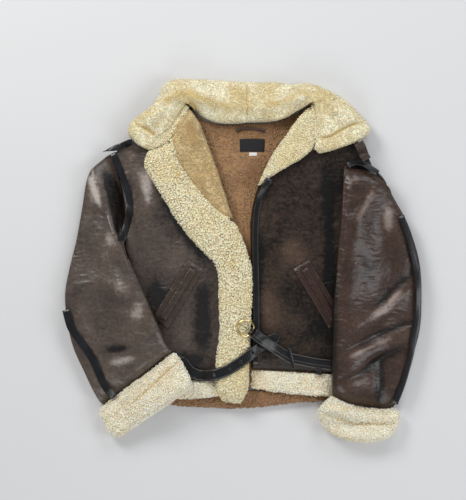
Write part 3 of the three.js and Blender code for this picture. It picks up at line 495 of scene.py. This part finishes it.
# Painted light on the hide, with some real rubbing: below zero is mostly painted shade, above zero mostly
# painted highlight.
WEAR_AND_PAINTED_LIGHT = {
    "front_right": [
        # Right front: painted shadow under the lapel band, painted highlights high on the chest and
        # shoulder, painted shade along the lapel band and the belt, and darker towards the bottom.
        ([(-192, 178), (-132, 72), (-84, -6)], 17, -0.5), ([(-216, 148), (-224, 206)], 13, 0.4),
        ([(-262, 258), (-250, 232)], 14, 0.25), ([(-226, 150), (-205, 128)], 8, 0.25),
        ([(-92, -40), (-92, -210)], 26, -0.45), ([(-205, -214), (-90, -238)], 20, -0.45),
        ([(-160, -100), (-220, -60)], 30, -0.3), ([(-232, 215), (-215, 120)], 22, 0.2),
        ([(-262, 200), (-262, 120)], 9, -0.2),
    ],
    "front_left": [
        # Left front: the pale patch by the pocket is real rubbing; paler lower down, painted shade along
        # its edge under the left sleeve, and darker along the zip.
        ([(100, 56), (150, -40)], 34, 0.3), ([(44, -60), (70, -160)], 28, 0.22),
        ([(196, 240), (200, -200)], 15, -0.3), ([(40, 70), (38, -200)], 9, -0.2),
        ([(120, 250), (60, 190)], 40, -0.05),
    ],
    "sleeve_right": [
        # Right sleeve: painted shade in the recess between its folded edge and the armhole tape, painted
        # highlights on the fold edge and on the tops of its rolls.
        ([(-318, 205), (-298, 160), (-288, 110), (-280, 62)], 14, -1.1),
        ([(-356, 197), (-340, 160), (-325, 118)], 8, 0.5), ([(-310, 66), (-300, 34)], 15, 0.35),
        ([(-296, -62), (-250, -60)], 26, 0.2), ([(-236, -88), (-240, -134)], 18, 0.3),
        ([(-305, -236), (-245, -221)], 9, 0.3), ([(-318, -206), (-262, -197)], 10, -0.3),
        ([(-345, 205), (-338, 130)], 20, 0.3), ([(-360, -20), (-392, -90)], 24, -0.1),
        ([(-352, 120), (-370, 60)], 14, 0.12),
    ],
    "sleeve_left": [
        # Left sleeve: painted highlights on the tops of its rolls, painted shade in the hollows of its
        # folds and along its inner edge over the left front.
        ([(368, -52), (328, -106), (288, -128)], 11, 0.55),
        ([(382, -28), (346, -66), (300, -104)], 13, -0.35),
        ([(348, -176), (290, -198), (230, -222)], 6, 0.35),
        ([(393, -136), (348, -154), (290, -177)], 6, -0.4),
        ([(373, -197), (318, -225), (263, -261)], 9, -0.4), ([(318, -228), (313, -330)], 10, -0.5),
        ([(330, 124), (334, 66)], 13, 0.4), ([(300, 168), (250, 84)], 7, 0.25),
        ([(236, 176), (262, 190)], 12, 0.3), ([(204, 190), (206, -290)], 9, -0.4),
        ([(300, 20), (270, -60)], 34, -0.15),
    ],
}
# How rubbed a piece is all over, from 0 to 1.
PATINA = {"front_right": 0.36, "front_left": 0.2, "sleeve_right": 0.42, "sleeve_left": 0.4}

# %% [markdown]
# Now the tables go to work on the four large leather pieces. The fold lines move the hide, and slow
# noise adds the dents that a worn hide has between its folds. A cloth simulation could crease it
# too, but it would put the creases elsewhere than on this jacket.

# %% Leather panels and sleeves
SLEEVE_WALL = 2.2         # mm of hide round a sleeve


def paint_wear_and_light(piece, node_name):
    """Stores how pale each point is painted: real rubbing, painted highlights and painted shade from the
    table, a little lighter on the folds' rolls and darker in their hollows, and slow noise.
    """
    values = []
    for vertex in piece.data.vertices:
        top = max(-3.0, min(3.0, relief(vertex.co, FOLDS[node_name])))
        # Rolls come out a little paler and hollows a little darker: painted highlight and painted shade,
        # with some real rubbing.
        value = PATINA[node_name] + relief(vertex.co, WEAR_AND_PAINTED_LIGHT[node_name]) + 0.04 * top
        values.append(value + 0.12 * noise.noise(vertex.co * 11))
    store(piece, "worn", values)


def give_wall(piece, thick):
    """Turns a closed skin into a tube with a wall of its own."""
    wall = piece.modifiers.new("wall", "SOLIDIFY")
    wall.thickness = thick
    wall.offset = -1
    bpy.context.view_layer.update()
    walled = bpy.data.meshes.new_from_object(piece.evaluated_get(bpy.context.evaluated_depsgraph_get()))
    piece.modifiers.clear()
    piece.data = walled
    walled.name = piece.name


LEATHER_PIECES = [
    # node, material, offset of its small dents
    ("front_right", LEATHER_RIGHT, 3.1), ("front_left", LEATHER_LEFT, 8.4),
    ("sleeve_right", LEATHER_RIGHT, 5.2), ("sleeve_left", LEATHER_SLEEVE, 1.7),
]
for node_name, material, offset in LEATHER_PIECES:
    skin = dressed_copy(node_name, "skin_" + node_name, 2)
    shift = Vector((offset, offset * 0.4, 0))

    def dents(point, normal):
        small = noise.noise(Vector((point.x * 30, point.y * 16, point.z * 10)) + shift)
        large = noise.noise(point * 12 + shift)
        return (relief(point, FOLDS[node_name]) + 0.9 * small + 1.6 * large - 0.8) * MM

    paint_wear_and_light(skin, node_name)
    move_bare(skin, dents)
    if node_name.startswith("sleeve"):
        give_wall(skin, SLEEVE_WALL * MM)
    settle(skin, material, node_name)
    print(skin.name, len(skin.data.polygons), "faces")

# %% [markdown]
# Fleece is made in two layers: a lumpy bed on the solid's form, and locks of wool that stand on
# it. A lock is a small bent wedge. It is made once and set out many times by geometry nodes, where
# every place, turn and size comes from one seed, so the fleece is the same on every run.

# %% One lock of wool, straight and curled
def make_lock(name, long_mm, wide_mm, curl, blunt, cuts):
    """A three-sided wedge that bends over as it rises, so its tip points sideways."""
    work = bmesh.new()
    bmesh.ops.create_cone(work, cap_ends=True, cap_tris=False, segments=3,
                          radius1=wide_mm * MM / 2, radius2=wide_mm * MM * blunt,
                          depth=long_mm * MM, matrix=Matrix.Translation((0, 0, long_mm * MM / 2)))
    for share in cuts:
        bmesh.ops.bisect_plane(work, geom=work.verts[:] + work.edges[:] + work.faces[:],
                               plane_co=(0, 0, long_mm * MM * share), plane_no=(0, 0, 1))
    rises = []
    for vertex in work.verts:
        rise = vertex.co.z / (long_mm * MM)
        angle = curl * rise
        side = vertex.co.x
        bulge = 1.0 + 0.5 * math.sin(math.pi * rise)
        radius = long_mm * MM / max(curl, 0.01)
        vertex.co.x = radius * (1 - math.cos(angle)) + side * bulge * math.cos(angle)
        vertex.co.z = radius * math.sin(angle) - side * bulge * math.sin(angle)
        vertex.co.y *= bulge
        rises.append(rise)
    bmesh.ops.recalc_face_normals(work, faces=work.faces)
    mesh = bpy.data.meshes.new(name)
    work.to_mesh(mesh)
    work.free()
    mesh.attributes.new("rise", "FLOAT", "POINT").data.foreach_set("value", rises)
    for face in mesh.polygons:
        face.use_smooth = True
    print(name, len(mesh.polygons), "faces")
    return bpy.data.objects.new(name, mesh)


LOCK_CURLY = make_lock("lock_curly", 7.5, 5.4, 2.3, 0.3, (0.33, 0.66))
LOCK_SMALL = make_lock("lock_small", 7.5, 5.4, 2.0, 0.3, (0.5,))
LOCK_COMBED = make_lock("lock_combed", 9.0, 4.2, 1.6, 0.2, (0.5,))

# %% [markdown]
# Wool doesn't grow through a strap. All fittings are joined in one mesh, and a place too near to it
# stays free. The locks become one plain mesh in the end, so that nothing has to be worked out again
# when the jacket is used.

# %% Set the locks out over a bed
CLEAR_OF_FITTINGS = 0.0045     # metres round a fitting where no lock stands
LOWEST_WOOL = 0.0003      # no lock reaches lower than this over the floor
TILT = 0.35               # radians that a lock may lean more or less than its neighbours
SWAY = 0.5                # radians that a combed lock may turn from its heading


def fittings_mesh():
    """One mesh of all that wool has to leave free: straps, tapes, buckle, label and loops."""
    work = bmesh.new()
    for node_name in FINISHES:
        work.from_mesh(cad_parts[node_name].data)
    mesh = bpy.data.meshes.new("fittings")
    work.to_mesh(mesh)
    work.free()
    return bpy.data.objects.new("fittings", mesh)


FITTINGS = fittings_mesh()


def grow_locks(bed, lock, material, name, per_m2, seed, size, lean, heading=None):
    """Stands copies of a lock on the bare parts of a bed and returns them as one mesh."""
    tree = bpy.data.node_groups.new("grow_" + name, "GeometryNodeTree")
    tree.interface.new_socket("Geometry", in_out="INPUT", socket_type="NodeSocketGeometry")
    tree.interface.new_socket("Geometry", in_out="OUTPUT", socket_type="NodeSocketGeometry")
    source = add_node(tree, "NodeGroupInput")
    bare = add_node(tree, "GeometryNodeInputNamedAttribute", {"data_type": "FLOAT"}, Name="bare")
    density = add_node(tree, "ShaderNodeMath", {"operation": "MULTIPLY"},
                       i0=bare.outputs["Attribute"], i1=per_m2 * WOOL_SHARE)
    points = add_node(tree, "GeometryNodeDistributePointsOnFaces", Mesh=source.outputs[0],
                      Density=density.outputs[0], Seed=seed)
    spin = math.pi if heading is None else SWAY
    first = 0.0 if heading is None else heading
    turn = add_node(tree, "FunctionNodeRandomValue", {"data_type": "FLOAT_VECTOR"},
                    Min=(-TILT, lean - TILT, first - spin), Max=(TILT, lean + TILT, first + spin),
                    Seed=seed + 1)
    turned = add_node(tree, "FunctionNodeEulerToRotation", Euler=turn.outputs["Value"])
    both = add_node(tree, "FunctionNodeRotateRotation", {"rotation_space": "LOCAL"},
                    Rotation=points.outputs["Rotation"], Rotate_By=turned.outputs[0])
    scale = add_node(tree, "FunctionNodeRandomValue", {"data_type": "FLOAT_VECTOR"},
                     Min=(size[0],) * 3, Max=(size[1],) * 3, Seed=seed + 2)
    model = add_node(tree, "GeometryNodeObjectInfo", Object=lock)
    straps = add_node(tree, "GeometryNodeObjectInfo", Object=FITTINGS)
    away = add_node(tree, "GeometryNodeProximity", {"target_element": "FACES"},
                    Geometry=straps.outputs["Geometry"])
    close = add_node(tree, "FunctionNodeCompare", {"data_type": "FLOAT", "operation": "LESS_THAN"},
                     i0=away.outputs["Distance"], i1=CLEAR_OF_FITTINGS)
    free = add_node(tree, "GeometryNodeDeleteGeometry", {"domain": "POINT"},
                    Geometry=points.outputs["Points"], Selection=close.outputs["Result"])
    copies = add_node(tree, "GeometryNodeInstanceOnPoints", Points=free.outputs[0],
                      Instance=model.outputs["Geometry"], Rotation=both.outputs[0],
                      Scale=scale.outputs["Value"])
    real = add_node(tree, "GeometryNodeRealizeInstances", Geometry=copies.outputs[0])
    spot = add_node(tree, "ShaderNodeSeparateXYZ",
                    Vector=add_node(tree, "GeometryNodeInputPosition").outputs[0])
    above_floor = add_node(tree, "ShaderNodeMath", {"operation": "MAXIMUM"},
                           i0=spot.outputs["Z"], i1=LOWEST_WOOL)
    lifted = add_node(tree, "ShaderNodeCombineXYZ", X=spot.outputs["X"], Y=spot.outputs["Y"],
                      Z=above_floor.outputs[0])
    set_down = add_node(tree, "GeometryNodeSetPosition", Geometry=real.outputs[0],
                        Position=lifted.outputs[0])
    add_node(tree, "NodeGroupOutput", Geometry=set_down.outputs[0])
    carrier = bpy.data.objects.new(name + "_carrier", bed.data)
    bpy.context.scene.collection.objects.link(carrier)
    modifier = carrier.modifiers.new("grow", "NODES")
    modifier.node_group = tree
    bpy.context.view_layer.update()
    mesh = bpy.data.meshes.new_from_object(
        carrier.evaluated_get(bpy.context.evaluated_depsgraph_get()))
    bpy.data.objects.remove(carrier)
    mesh.name = name
    mesh.materials.clear()
    mesh.materials.append(material)
    locks = bpy.data.objects.new(name, mesh)
    bpy.context.scene.collection.objects.link(locks)
    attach(locks, BODY)
    print(name, len(mesh.polygons), "faces")
    return locks


# %% [markdown]
# Every fleece piece gets its bed and locks from one table. The collar, lapel edges, cuffs and hem
# are curly. The facing and the lining are combed downwards, so their locks all point one way. Two
# more tables say where the wool stands in rolls or is pressed down along a seam, and where painted
# shade darkens the wool, which has fewer locks there: in the collar's hollows, at the top of the
# facing and on the lining under the collar, and in the cuffs' and lapels' shaded parts.

# %% Fleece pieces
def lumpy(height_mm, lump_mm, offset, forms):
    """Lumps of wool over the rolls and pressed seams of a table."""
    shift = Vector((offset, -offset, offset * 0.5))

    def height_at(point, normal):
        coarse = noise.noise(point * (1000 / lump_mm) + shift)
        broad = noise.noise(point * 22 + shift)
        return (height_mm * (0.6 * coarse + 0.6 * broad - 0.4) + relief(point, forms)) * MM

    return height_at


def part_wool(bed, seams_and_painted_shade, first_rise):
    """Thins the wool where a seam parts it and under painted shade, and says how light the bed is: darker
    at a seam, and painted darker as shade.
    """
    bare, rise = stored(bed, "bare"), []
    for i, vertex in enumerate(bed.data.vertices):
        closed = min(1.0, relief(vertex.co, seams_and_painted_shade))
        bare[i] *= 1.0 - 0.9 * closed
        rise.append(first_rise * (1.0 - closed) - 0.35 * closed)
    store(bed, "bare", bare)
    store(bed, "rise", rise)


WOOL_FORMS = {
    "collar": [
        ([(-130, 368), (-108, 346), (-91, 324)], 6, -3.0), ([(10, 411), (9, 317)], 4, -2.5),
        ([(-250, 317), (-236, 308), (-213, 296), (-190, 280)], 5, -3.5),
        ([(275, 317), (247, 310), (224, 299), (201, 285), (174, 280)], 5, -3.5),
        ([(-190, 320), (-168, 352), (-150, 385)], 20, 3.0), ([(215, 330), (190, 372)], 22, 3.0),
        ([(209, 370), (211, 367)], 9, -2.5), ([(217, 352), (219, 350)], 8, -2.0),
        ([(-120, 352), (-60, 338), (0, 334), (80, 340), (150, 366)], 12, -1.5),
    ],
    "lapel_band_right": [
        ([(-176, 214), (-150, 190)], 8, -1.5), ([(-60, 96), (-8, 10), (0, -150)], 10, 1.0),
    ],
    "facing_right": [([(-120, 250), (-60, 140)], 18, 1.5)],
    "lapel_left": [([(95, 225), (150, 290)], 16, 1.5)],
    "cuff_left": [([(187, -350), (252, -373), (344, -375)], 5, -4.0)],
    "cuff_right": [([(-145, -224), (-211, -286), (-266, -336)], 5, -4.0)],
    "back_panel": [([(20, 300), (20, 239), (29, 151), (24, 60)], 5, -2.0)],
}
# Where painted shade darkens the wool's bed and fewer locks stand: line, width in mm, how dark and sparse,
# 0 to 1.
SPARSE_WOOL_AND_PAINTED_SHADE = {
    "collar": [
        ([(-190, 345), (-165, 372), (-125, 384), (-60, 356), (0, 348)], 17, 0.75),
        ([(40, 356), (90, 362), (132, 386), (168, 372)], 16, 0.7), ([(168, 300), (190, 350)], 13, 0.5),
        ([(-205, 300), (-176, 330)], 12, 0.4),
    ],
    "facing_right": [([(-128, 322), (-104, 250)], 20, 0.8), ([(-120, 200), (-70, 130)], 9, 0.5)],
    "lapel_band_right": [([(-168, 226), (-140, 180)], 14, 0.6), ([(-40, 40), (-8, -40)], 16, 0.35)],
    "lapel_left": [([(120, 262), (150, 320)], 16, 0.35)],
    "cuff_left": [([(190, -330), (340, -345)], 12, 0.6)],
    "cuff_right": [([(-150, -240), (-210, -300)], 10, 0.4)],
    "back_panel": [([(-70, 306), (30, 296), (110, 312)], 26, 0.6)],
}
DOWN = -math.pi / 2
FLEECE_PIECES = [
    # node, material, lock, locks per square metre, lump height mm, lump mm, size, lean, heading,
    # bed's rise, times the bed is divided
    ("collar", FLEECE_CREAM, LOCK_SMALL, 140000, 1.4, 26, (0.3, 0.62), 0.9, None, 0.55, 3),
    ("lapel_band_right", FLEECE_BAND, LOCK_SMALL, 95000, 2.2, 13, (0.5, 0.95), 0.7, None, 0.2, 2),
    ("lapel_left", FLEECE_BAND, LOCK_SMALL, 130000, 1.6, 16, (0.4, 0.75), 0.8, None, 0.4, 2),
    ("facing_right", FLEECE_FACING, LOCK_COMBED, 160000, 1.2, 26, (0.3, 0.6), 1.0, DOWN, 0.5, 3),
    ("cuff_right", FLEECE_CUFF, LOCK_SMALL, 95000, 2.2, 18, (0.45, 0.85), 0.7, None, 0.35, 2),
    ("cuff_left", FLEECE_CUFF, LOCK_SMALL, 95000, 2.2, 18, (0.45, 0.85), 0.7, None, 0.35, 2),
    ("hem_band_right", FLEECE_CUFF, LOCK_CURLY, 90000, 1.6, 14, (0.5, 0.85), 0.7, None, 0.3, 2),
    ("hem_band_left", FLEECE_CUFF, LOCK_CURLY, 90000, 1.6, 14, (0.5, 0.85), 0.7, None, 0.3, 2),
    ("hem_band_back", FLEECE_LINING, LOCK_CURLY, 70000, 1.6, 14, (0.5, 0.9), 0.7, None, 0.3, 2),
    ("back_panel", FLEECE_LINING, LOCK_COMBED, 90000, 1.4, 22, (0.4, 0.75), 1.0, DOWN, 0.35, 2),
]
SEAMS = ("collar", "cuff_left", "cuff_right", "back_panel")
SEAM_WIDE = 7             # mm: a form narrower than this is a seam, where the wool parts
beds = {}
for seed, row in enumerate(FLEECE_PIECES):
    node_name, material, lock, per_m2, height, lump, size, lean, heading, rise, levels = row
    forms = WOOL_FORMS.get(node_name, [])
    bed = dressed_copy(node_name, "bed_" + node_name, levels)
    move_bare(bed, lumpy(height, lump, seed * 3.7, forms))
    parted = [(line, wide, 1.0) for line, wide, high in forms if wide < SEAM_WIDE]
    if node_name not in SEAMS:
        parted = []
    part_wool(bed, parted + SPARSE_WOOL_AND_PAINTED_SHADE.get(node_name, []), rise)
    settle(bed, material, node_name)
    beds[node_name] = bed
    grow_locks(bed, lock, material, "locks_" + node_name, per_m2,
                                  40 + seed * 5, size, lean, heading)

# The back's outer side, which lies on the floor, is leather like the fronts.
for node_name in ("back_panel", "hem_band_back"):
    bed = beds[node_name]
    bed.data.materials.append(LEATHER_BACK)
    for face in bed.data.polygons:
        face.material_index = 1 if face.normal.z < -0.25 else 0

# %% [markdown]
# Where the collar meets the lapels the wool of both pieces closes over the seam. Each join is a
# soft roll: a ring of points is pushed along the seam, made wider or narrower at every stop, and
# then gets the same bed and locks as the pieces beside it.

# %% Wool over the seams
ROLL_SIDES = 10


def wool_roll(name, stops, z_mm, half_high_mm):
    """A closed roll along stops of (x, y, half width) in mm, lying flat at one height."""
    work = bmesh.new()
    rings = []
    for i, (x, y, half) in enumerate(stops):
        before, after = stops[max(i - 1, 0)], stops[min(i + 1, len(stops) - 1)]
        turn = math.atan2(after[1] - before[1], after[0] - before[0])
        place = (Matrix.Translation((x * MM, y * MM, z_mm * MM)) @ Matrix.Rotation(turn, 4, "Z")
                 @ Matrix.Rotation(math.pi / 2, 4, "Y")
                 @ Matrix.Diagonal((half_high_mm * MM, half * MM, 1, 1)))
        ring = bmesh.ops.create_circle(work, segments=ROLL_SIDES, radius=1.0, matrix=place)["verts"]
        rings.append([edge for edge in work.edges if all(v in ring for v in edge.verts)])
    for first, second in zip(rings, rings[1:]):
        bmesh.ops.bridge_loops(work, edges=first + second)
    bmesh.ops.holes_fill(work, edges=work.edges[:], sides=12)
    bmesh.ops.recalc_face_normals(work, faces=work.faces[:])
    coarse = bpy.data.meshes.new(name)
    work.to_mesh(coarse)
    work.free()
    piece = bpy.data.objects.new(name, coarse)
    bpy.context.scene.collection.objects.link(piece)
    divide(piece, 3)
    store(piece, "bare", [1.0 if vertex.normal.z > -0.1 else 0.0 for vertex in piece.data.vertices])
    return piece


WOOL_ROLLS = [
    # name, height of its middle, half height, stops of (x, y, half width), all in mm
    ("wool_join_right", 37.5, 7, [(-128, 357, 6), (-138, 340, 8), (-150, 321, 11), (-166, 300, 14),
                                  (-186, 282, 16), (-206, 268, 14), (-221, 259, 9)]),
    ("wool_join_left", 37.5, 7, [(160, 359, 6), (163, 340, 7), (166, 314, 7), (168, 288, 7),
                                 (169, 266, 6)]),
    ("wool_seam_facing", 36, 5.5, [(-163, 284, 7), (-160, 262, 6), (-148, 229, 6), (-134, 201, 6),
                                   (-119, 179, 6), (-98, 152, 6), (-76, 128, 6), (-54, 108, 6),
                                   (-30, 92, 6)]),
]
for seed, (name, middle, half_high, stops) in enumerate(WOOL_ROLLS):
    roll = wool_roll(name, stops, middle, half_high)
    move_bare(roll, lumpy(1.2, 14, seed * 2.3, []))
    store(roll, "rise", [0.3] * len(roll.data.vertices))
    roll.data.materials.append(FLEECE_BAND)
    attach(roll, BODY)
    beds[name] = roll
    grow_locks(roll, LOCK_CURLY, FLEECE_BAND, "locks_" + name, 120000,
                             200 + seed * 5, (0.4, 0.8), 0.7)

# %% [markdown]
# Straps, tapes and pockets are sewn with a light waxed thread, five to six stitches to an inch. A
# stitch is one small stretched bead, set on the surface by looking straight down at the solids, so
# it always lies on the strap it holds. Stitches hidden under another piece are left out.

# %% Stitches and zip teeth
LOOK_DOWN_FROM = 0.3      # metres over the floor
BEAD_LIFT = 0.0001        # a bead's middle stands this far off the strap


def all_solids():
    """One search tree over every solid, and the name of each face's solid."""
    points, corners, owners = [], [], []
    for node_name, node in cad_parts.items():
        first = len(points)
        points.extend(vertex.co.copy() for vertex in node.data.vertices)
        for face in node.data.polygons:
            corners.append([first + i for i in face.vertices])
            owners.append(node_name)
    return BVHTree.FromPolygons(points, corners), owners


SOLIDS, OWNERS = all_solids()


def sew(name, node_name, line, offsets, step_mm, bead_mm, material):
    """Sets beads along a line of places, at offsets to its left, where the node is on top."""
    work = bmesh.new()
    count = 0
    for offset in offsets:
        left_over = 0.0
        for (x0, y0), (x1, y1) in zip(line, line[1:]):
            long = math.hypot(x1 - x0, y1 - y0)
            ux, uy = (x1 - x0) / long, (y1 - y0) / long
            at = left_over
            while at < long:
                x, y = x0 + ux * at - uy * offset, y0 + uy * at + ux * offset
                over = Vector((x * MM, y * MM, LOOK_DOWN_FROM))
                place, normal, face, _ = SOLIDS.ray_cast(over, Vector((0, 0, -1)))
                if place and OWNERS[face] == node_name:
                    along = Vector((ux, uy, 0)) - normal * normal.dot(Vector((ux, uy, 0)))
                    side = normal.cross(along.normalized())
                    turn = Matrix((along.normalized(), side, normal)).transposed().to_4x4()
                    size = Matrix.Diagonal((bead_mm[0] * MM, bead_mm[1] * MM, bead_mm[2] * MM, 1))
                    middle = Matrix.Translation(place + normal * BEAD_LIFT)
                    bmesh.ops.create_icosphere(work, subdivisions=1, radius=0.5,
                                               matrix=middle @ turn @ size)
                    count += 1
                at += step_mm
            left_over = at - long
    mesh = bpy.data.meshes.new(name)
    work.to_mesh(mesh)
    work.free()
    mesh.materials.append(material)
    for face in mesh.polygons:
        face.use_smooth = True
    piece = bpy.data.objects.new(name, mesh)
    bpy.context.scene.collection.objects.link(piece)
    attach(piece, BODY)
    print(name, count, "beads")


TEETH, tree, shader = new_material("blackened_zip_teeth")
place = add_node(tree, "ShaderNodeTexCoord").outputs["Object"]
wear_on = add_node(tree, "ShaderNodeTexNoise", Vector=place, Scale=300.0, Detail=2.0)
tone = add_node(tree, "ShaderNodeValToRGB", Fac=wear_on.outputs["Fac"])
tone.color_ramp.elements[0].color = linear("#3a3733")
tone.color_ramp.elements[1].color = linear("#8a8172")
tree.links.new(tone.outputs["Color"], shader.inputs["Base Color"])
shader.inputs["Metallic"].default_value = 1.0
shader.inputs["Roughness"].default_value = 0.4

TONGUE = [(-167, -224), (-137, -233), (-121, -253), (-103, -262), (-82, -262), (-59, -258),
          (-34, -248), (-6, -230), (17, -213), (36, -200), (59, -184), (85, -171)]
STRAP_LINE = [(231, -242), (199, -239), (167, -235), (132, -228), (109, -223), (86, -209),
              (63, -193), (40, -177), (24.5, -165)]
FRONT_EDGE = [(61, 188), (49, 168), (38, 145), (31, 116), (28, 71), (28, 25), (29, -21), (30, -90),
              (30, -160), (29, -238)]


POCKET_HALF = 78          # mm of stitches each way from a pocket's middle
POCKET_TURN = (0.517, -0.856)      # the way the left pocket runs; the right one is its mirror
POCKET_MIDDLE = {1: (175, -76), -1: (-150, -76)}


def pocket_line(side):
    """The middle line of a slanted pocket in mm: side is 1 for the left one, -1 for the right."""
    x, y = POCKET_MIDDLE[side]
    dx, dy = POCKET_TURN[0] * side * POCKET_HALF, POCKET_TURN[1] * POCKET_HALF
    return [(x - dx, y - dy), (x, y), (x + dx, y + dy)]


STEP = 4.6                # mm from stitch to stitch
TOOTH_STEP = 3.4
# A bead's length, width and height in mm.
STITCH = (3.0, 0.9, 0.8)
FINE_STITCH = (3.0, 0.8, 0.7)
TOOTH = (1.9, 3.2, 1.8)
POCKET_ROWS = (-19, 19, -11, 11)
SEWN = [
    # name, node, line, offsets, step, bead, material
    ("stitches_tongue", "belt_tongue", TONGUE, (-10.2, 10.2), STEP, STITCH, THREAD),
    ("stitches_strap", "belt_strap", STRAP_LINE, (-10.4, 3.2, 10.4), STEP, STITCH, THREAD),
    ("stitches_pocket_left", "pocket_frame_left", pocket_line(1), POCKET_ROWS, STEP, FINE_STITCH,
     DARK_THREAD),
    ("stitches_pocket_right", "pocket_frame_right", pocket_line(-1), POCKET_ROWS, STEP, FINE_STITCH,
     DARK_THREAD),
    ("stitches_zip", "zip_tape_left", FRONT_EDGE, (5.4,), STEP, FINE_STITCH, DARK_THREAD),
    ("zip_teeth", "zip_tape_left", FRONT_EDGE, (-5.2,), TOOTH_STEP, TOOTH, TEETH),
]
for row in SEWN:
    sew(*row)

# %% [markdown]
# A sewn piece is a flat cut that was laid in place. The tables below list, for each one, the size
# of its cut, its area and what it lies on, and how full the thick and springy collar, cuffs and
# rolls over the seams are, but nothing is done with them. A sleeve is a tube, so its hide has a
# wall of its own, and its cut in the table goes all the way round.


CUTS = [
    # piece, width and length of the cut in metres, its area in square metres, what it lies on
    ("back_panel", (0.60, 0.66), 0.320, [floor]),
    ("hem_band_back", (0.42, 0.05), 0.016, [floor]),
    ("front_right", (0.32, 0.64), 0.150, ["bed_back_panel"]),
    ("front_left", (0.29, 0.62), 0.135, ["bed_back_panel"]),
    ("hem_band_right", (0.23, 0.05), 0.010, ["bed_back_panel"]),
    ("hem_band_left", (0.21, 0.06), 0.011, ["bed_back_panel"]),
    ("facing_right", (0.14, 0.26), 0.017, ["skin_front_right"]),
    ("lapel_band_right", (0.14, 0.66), 0.056, ["skin_front_right"]),
    ("lapel_left", (0.11, 0.20), 0.011, ["skin_front_left"]),
    ("sleeve_right", (0.55, 0.66), 0.325, [floor, "skin_front_right"]),
    ("sleeve_left", (0.60, 0.70), 0.390, [floor, "skin_front_left"]),
]
for node_name, flat, area, below in CUTS:
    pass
FILLS = {
    "collar": 0.6, "cuff_right": 0.6, "cuff_left": 0.6,
    "wool_join_right": 0.7, "wool_join_left": 0.7, "wool_seam_facing": 0.7,
}
for node_name, fill in FILLS.items():
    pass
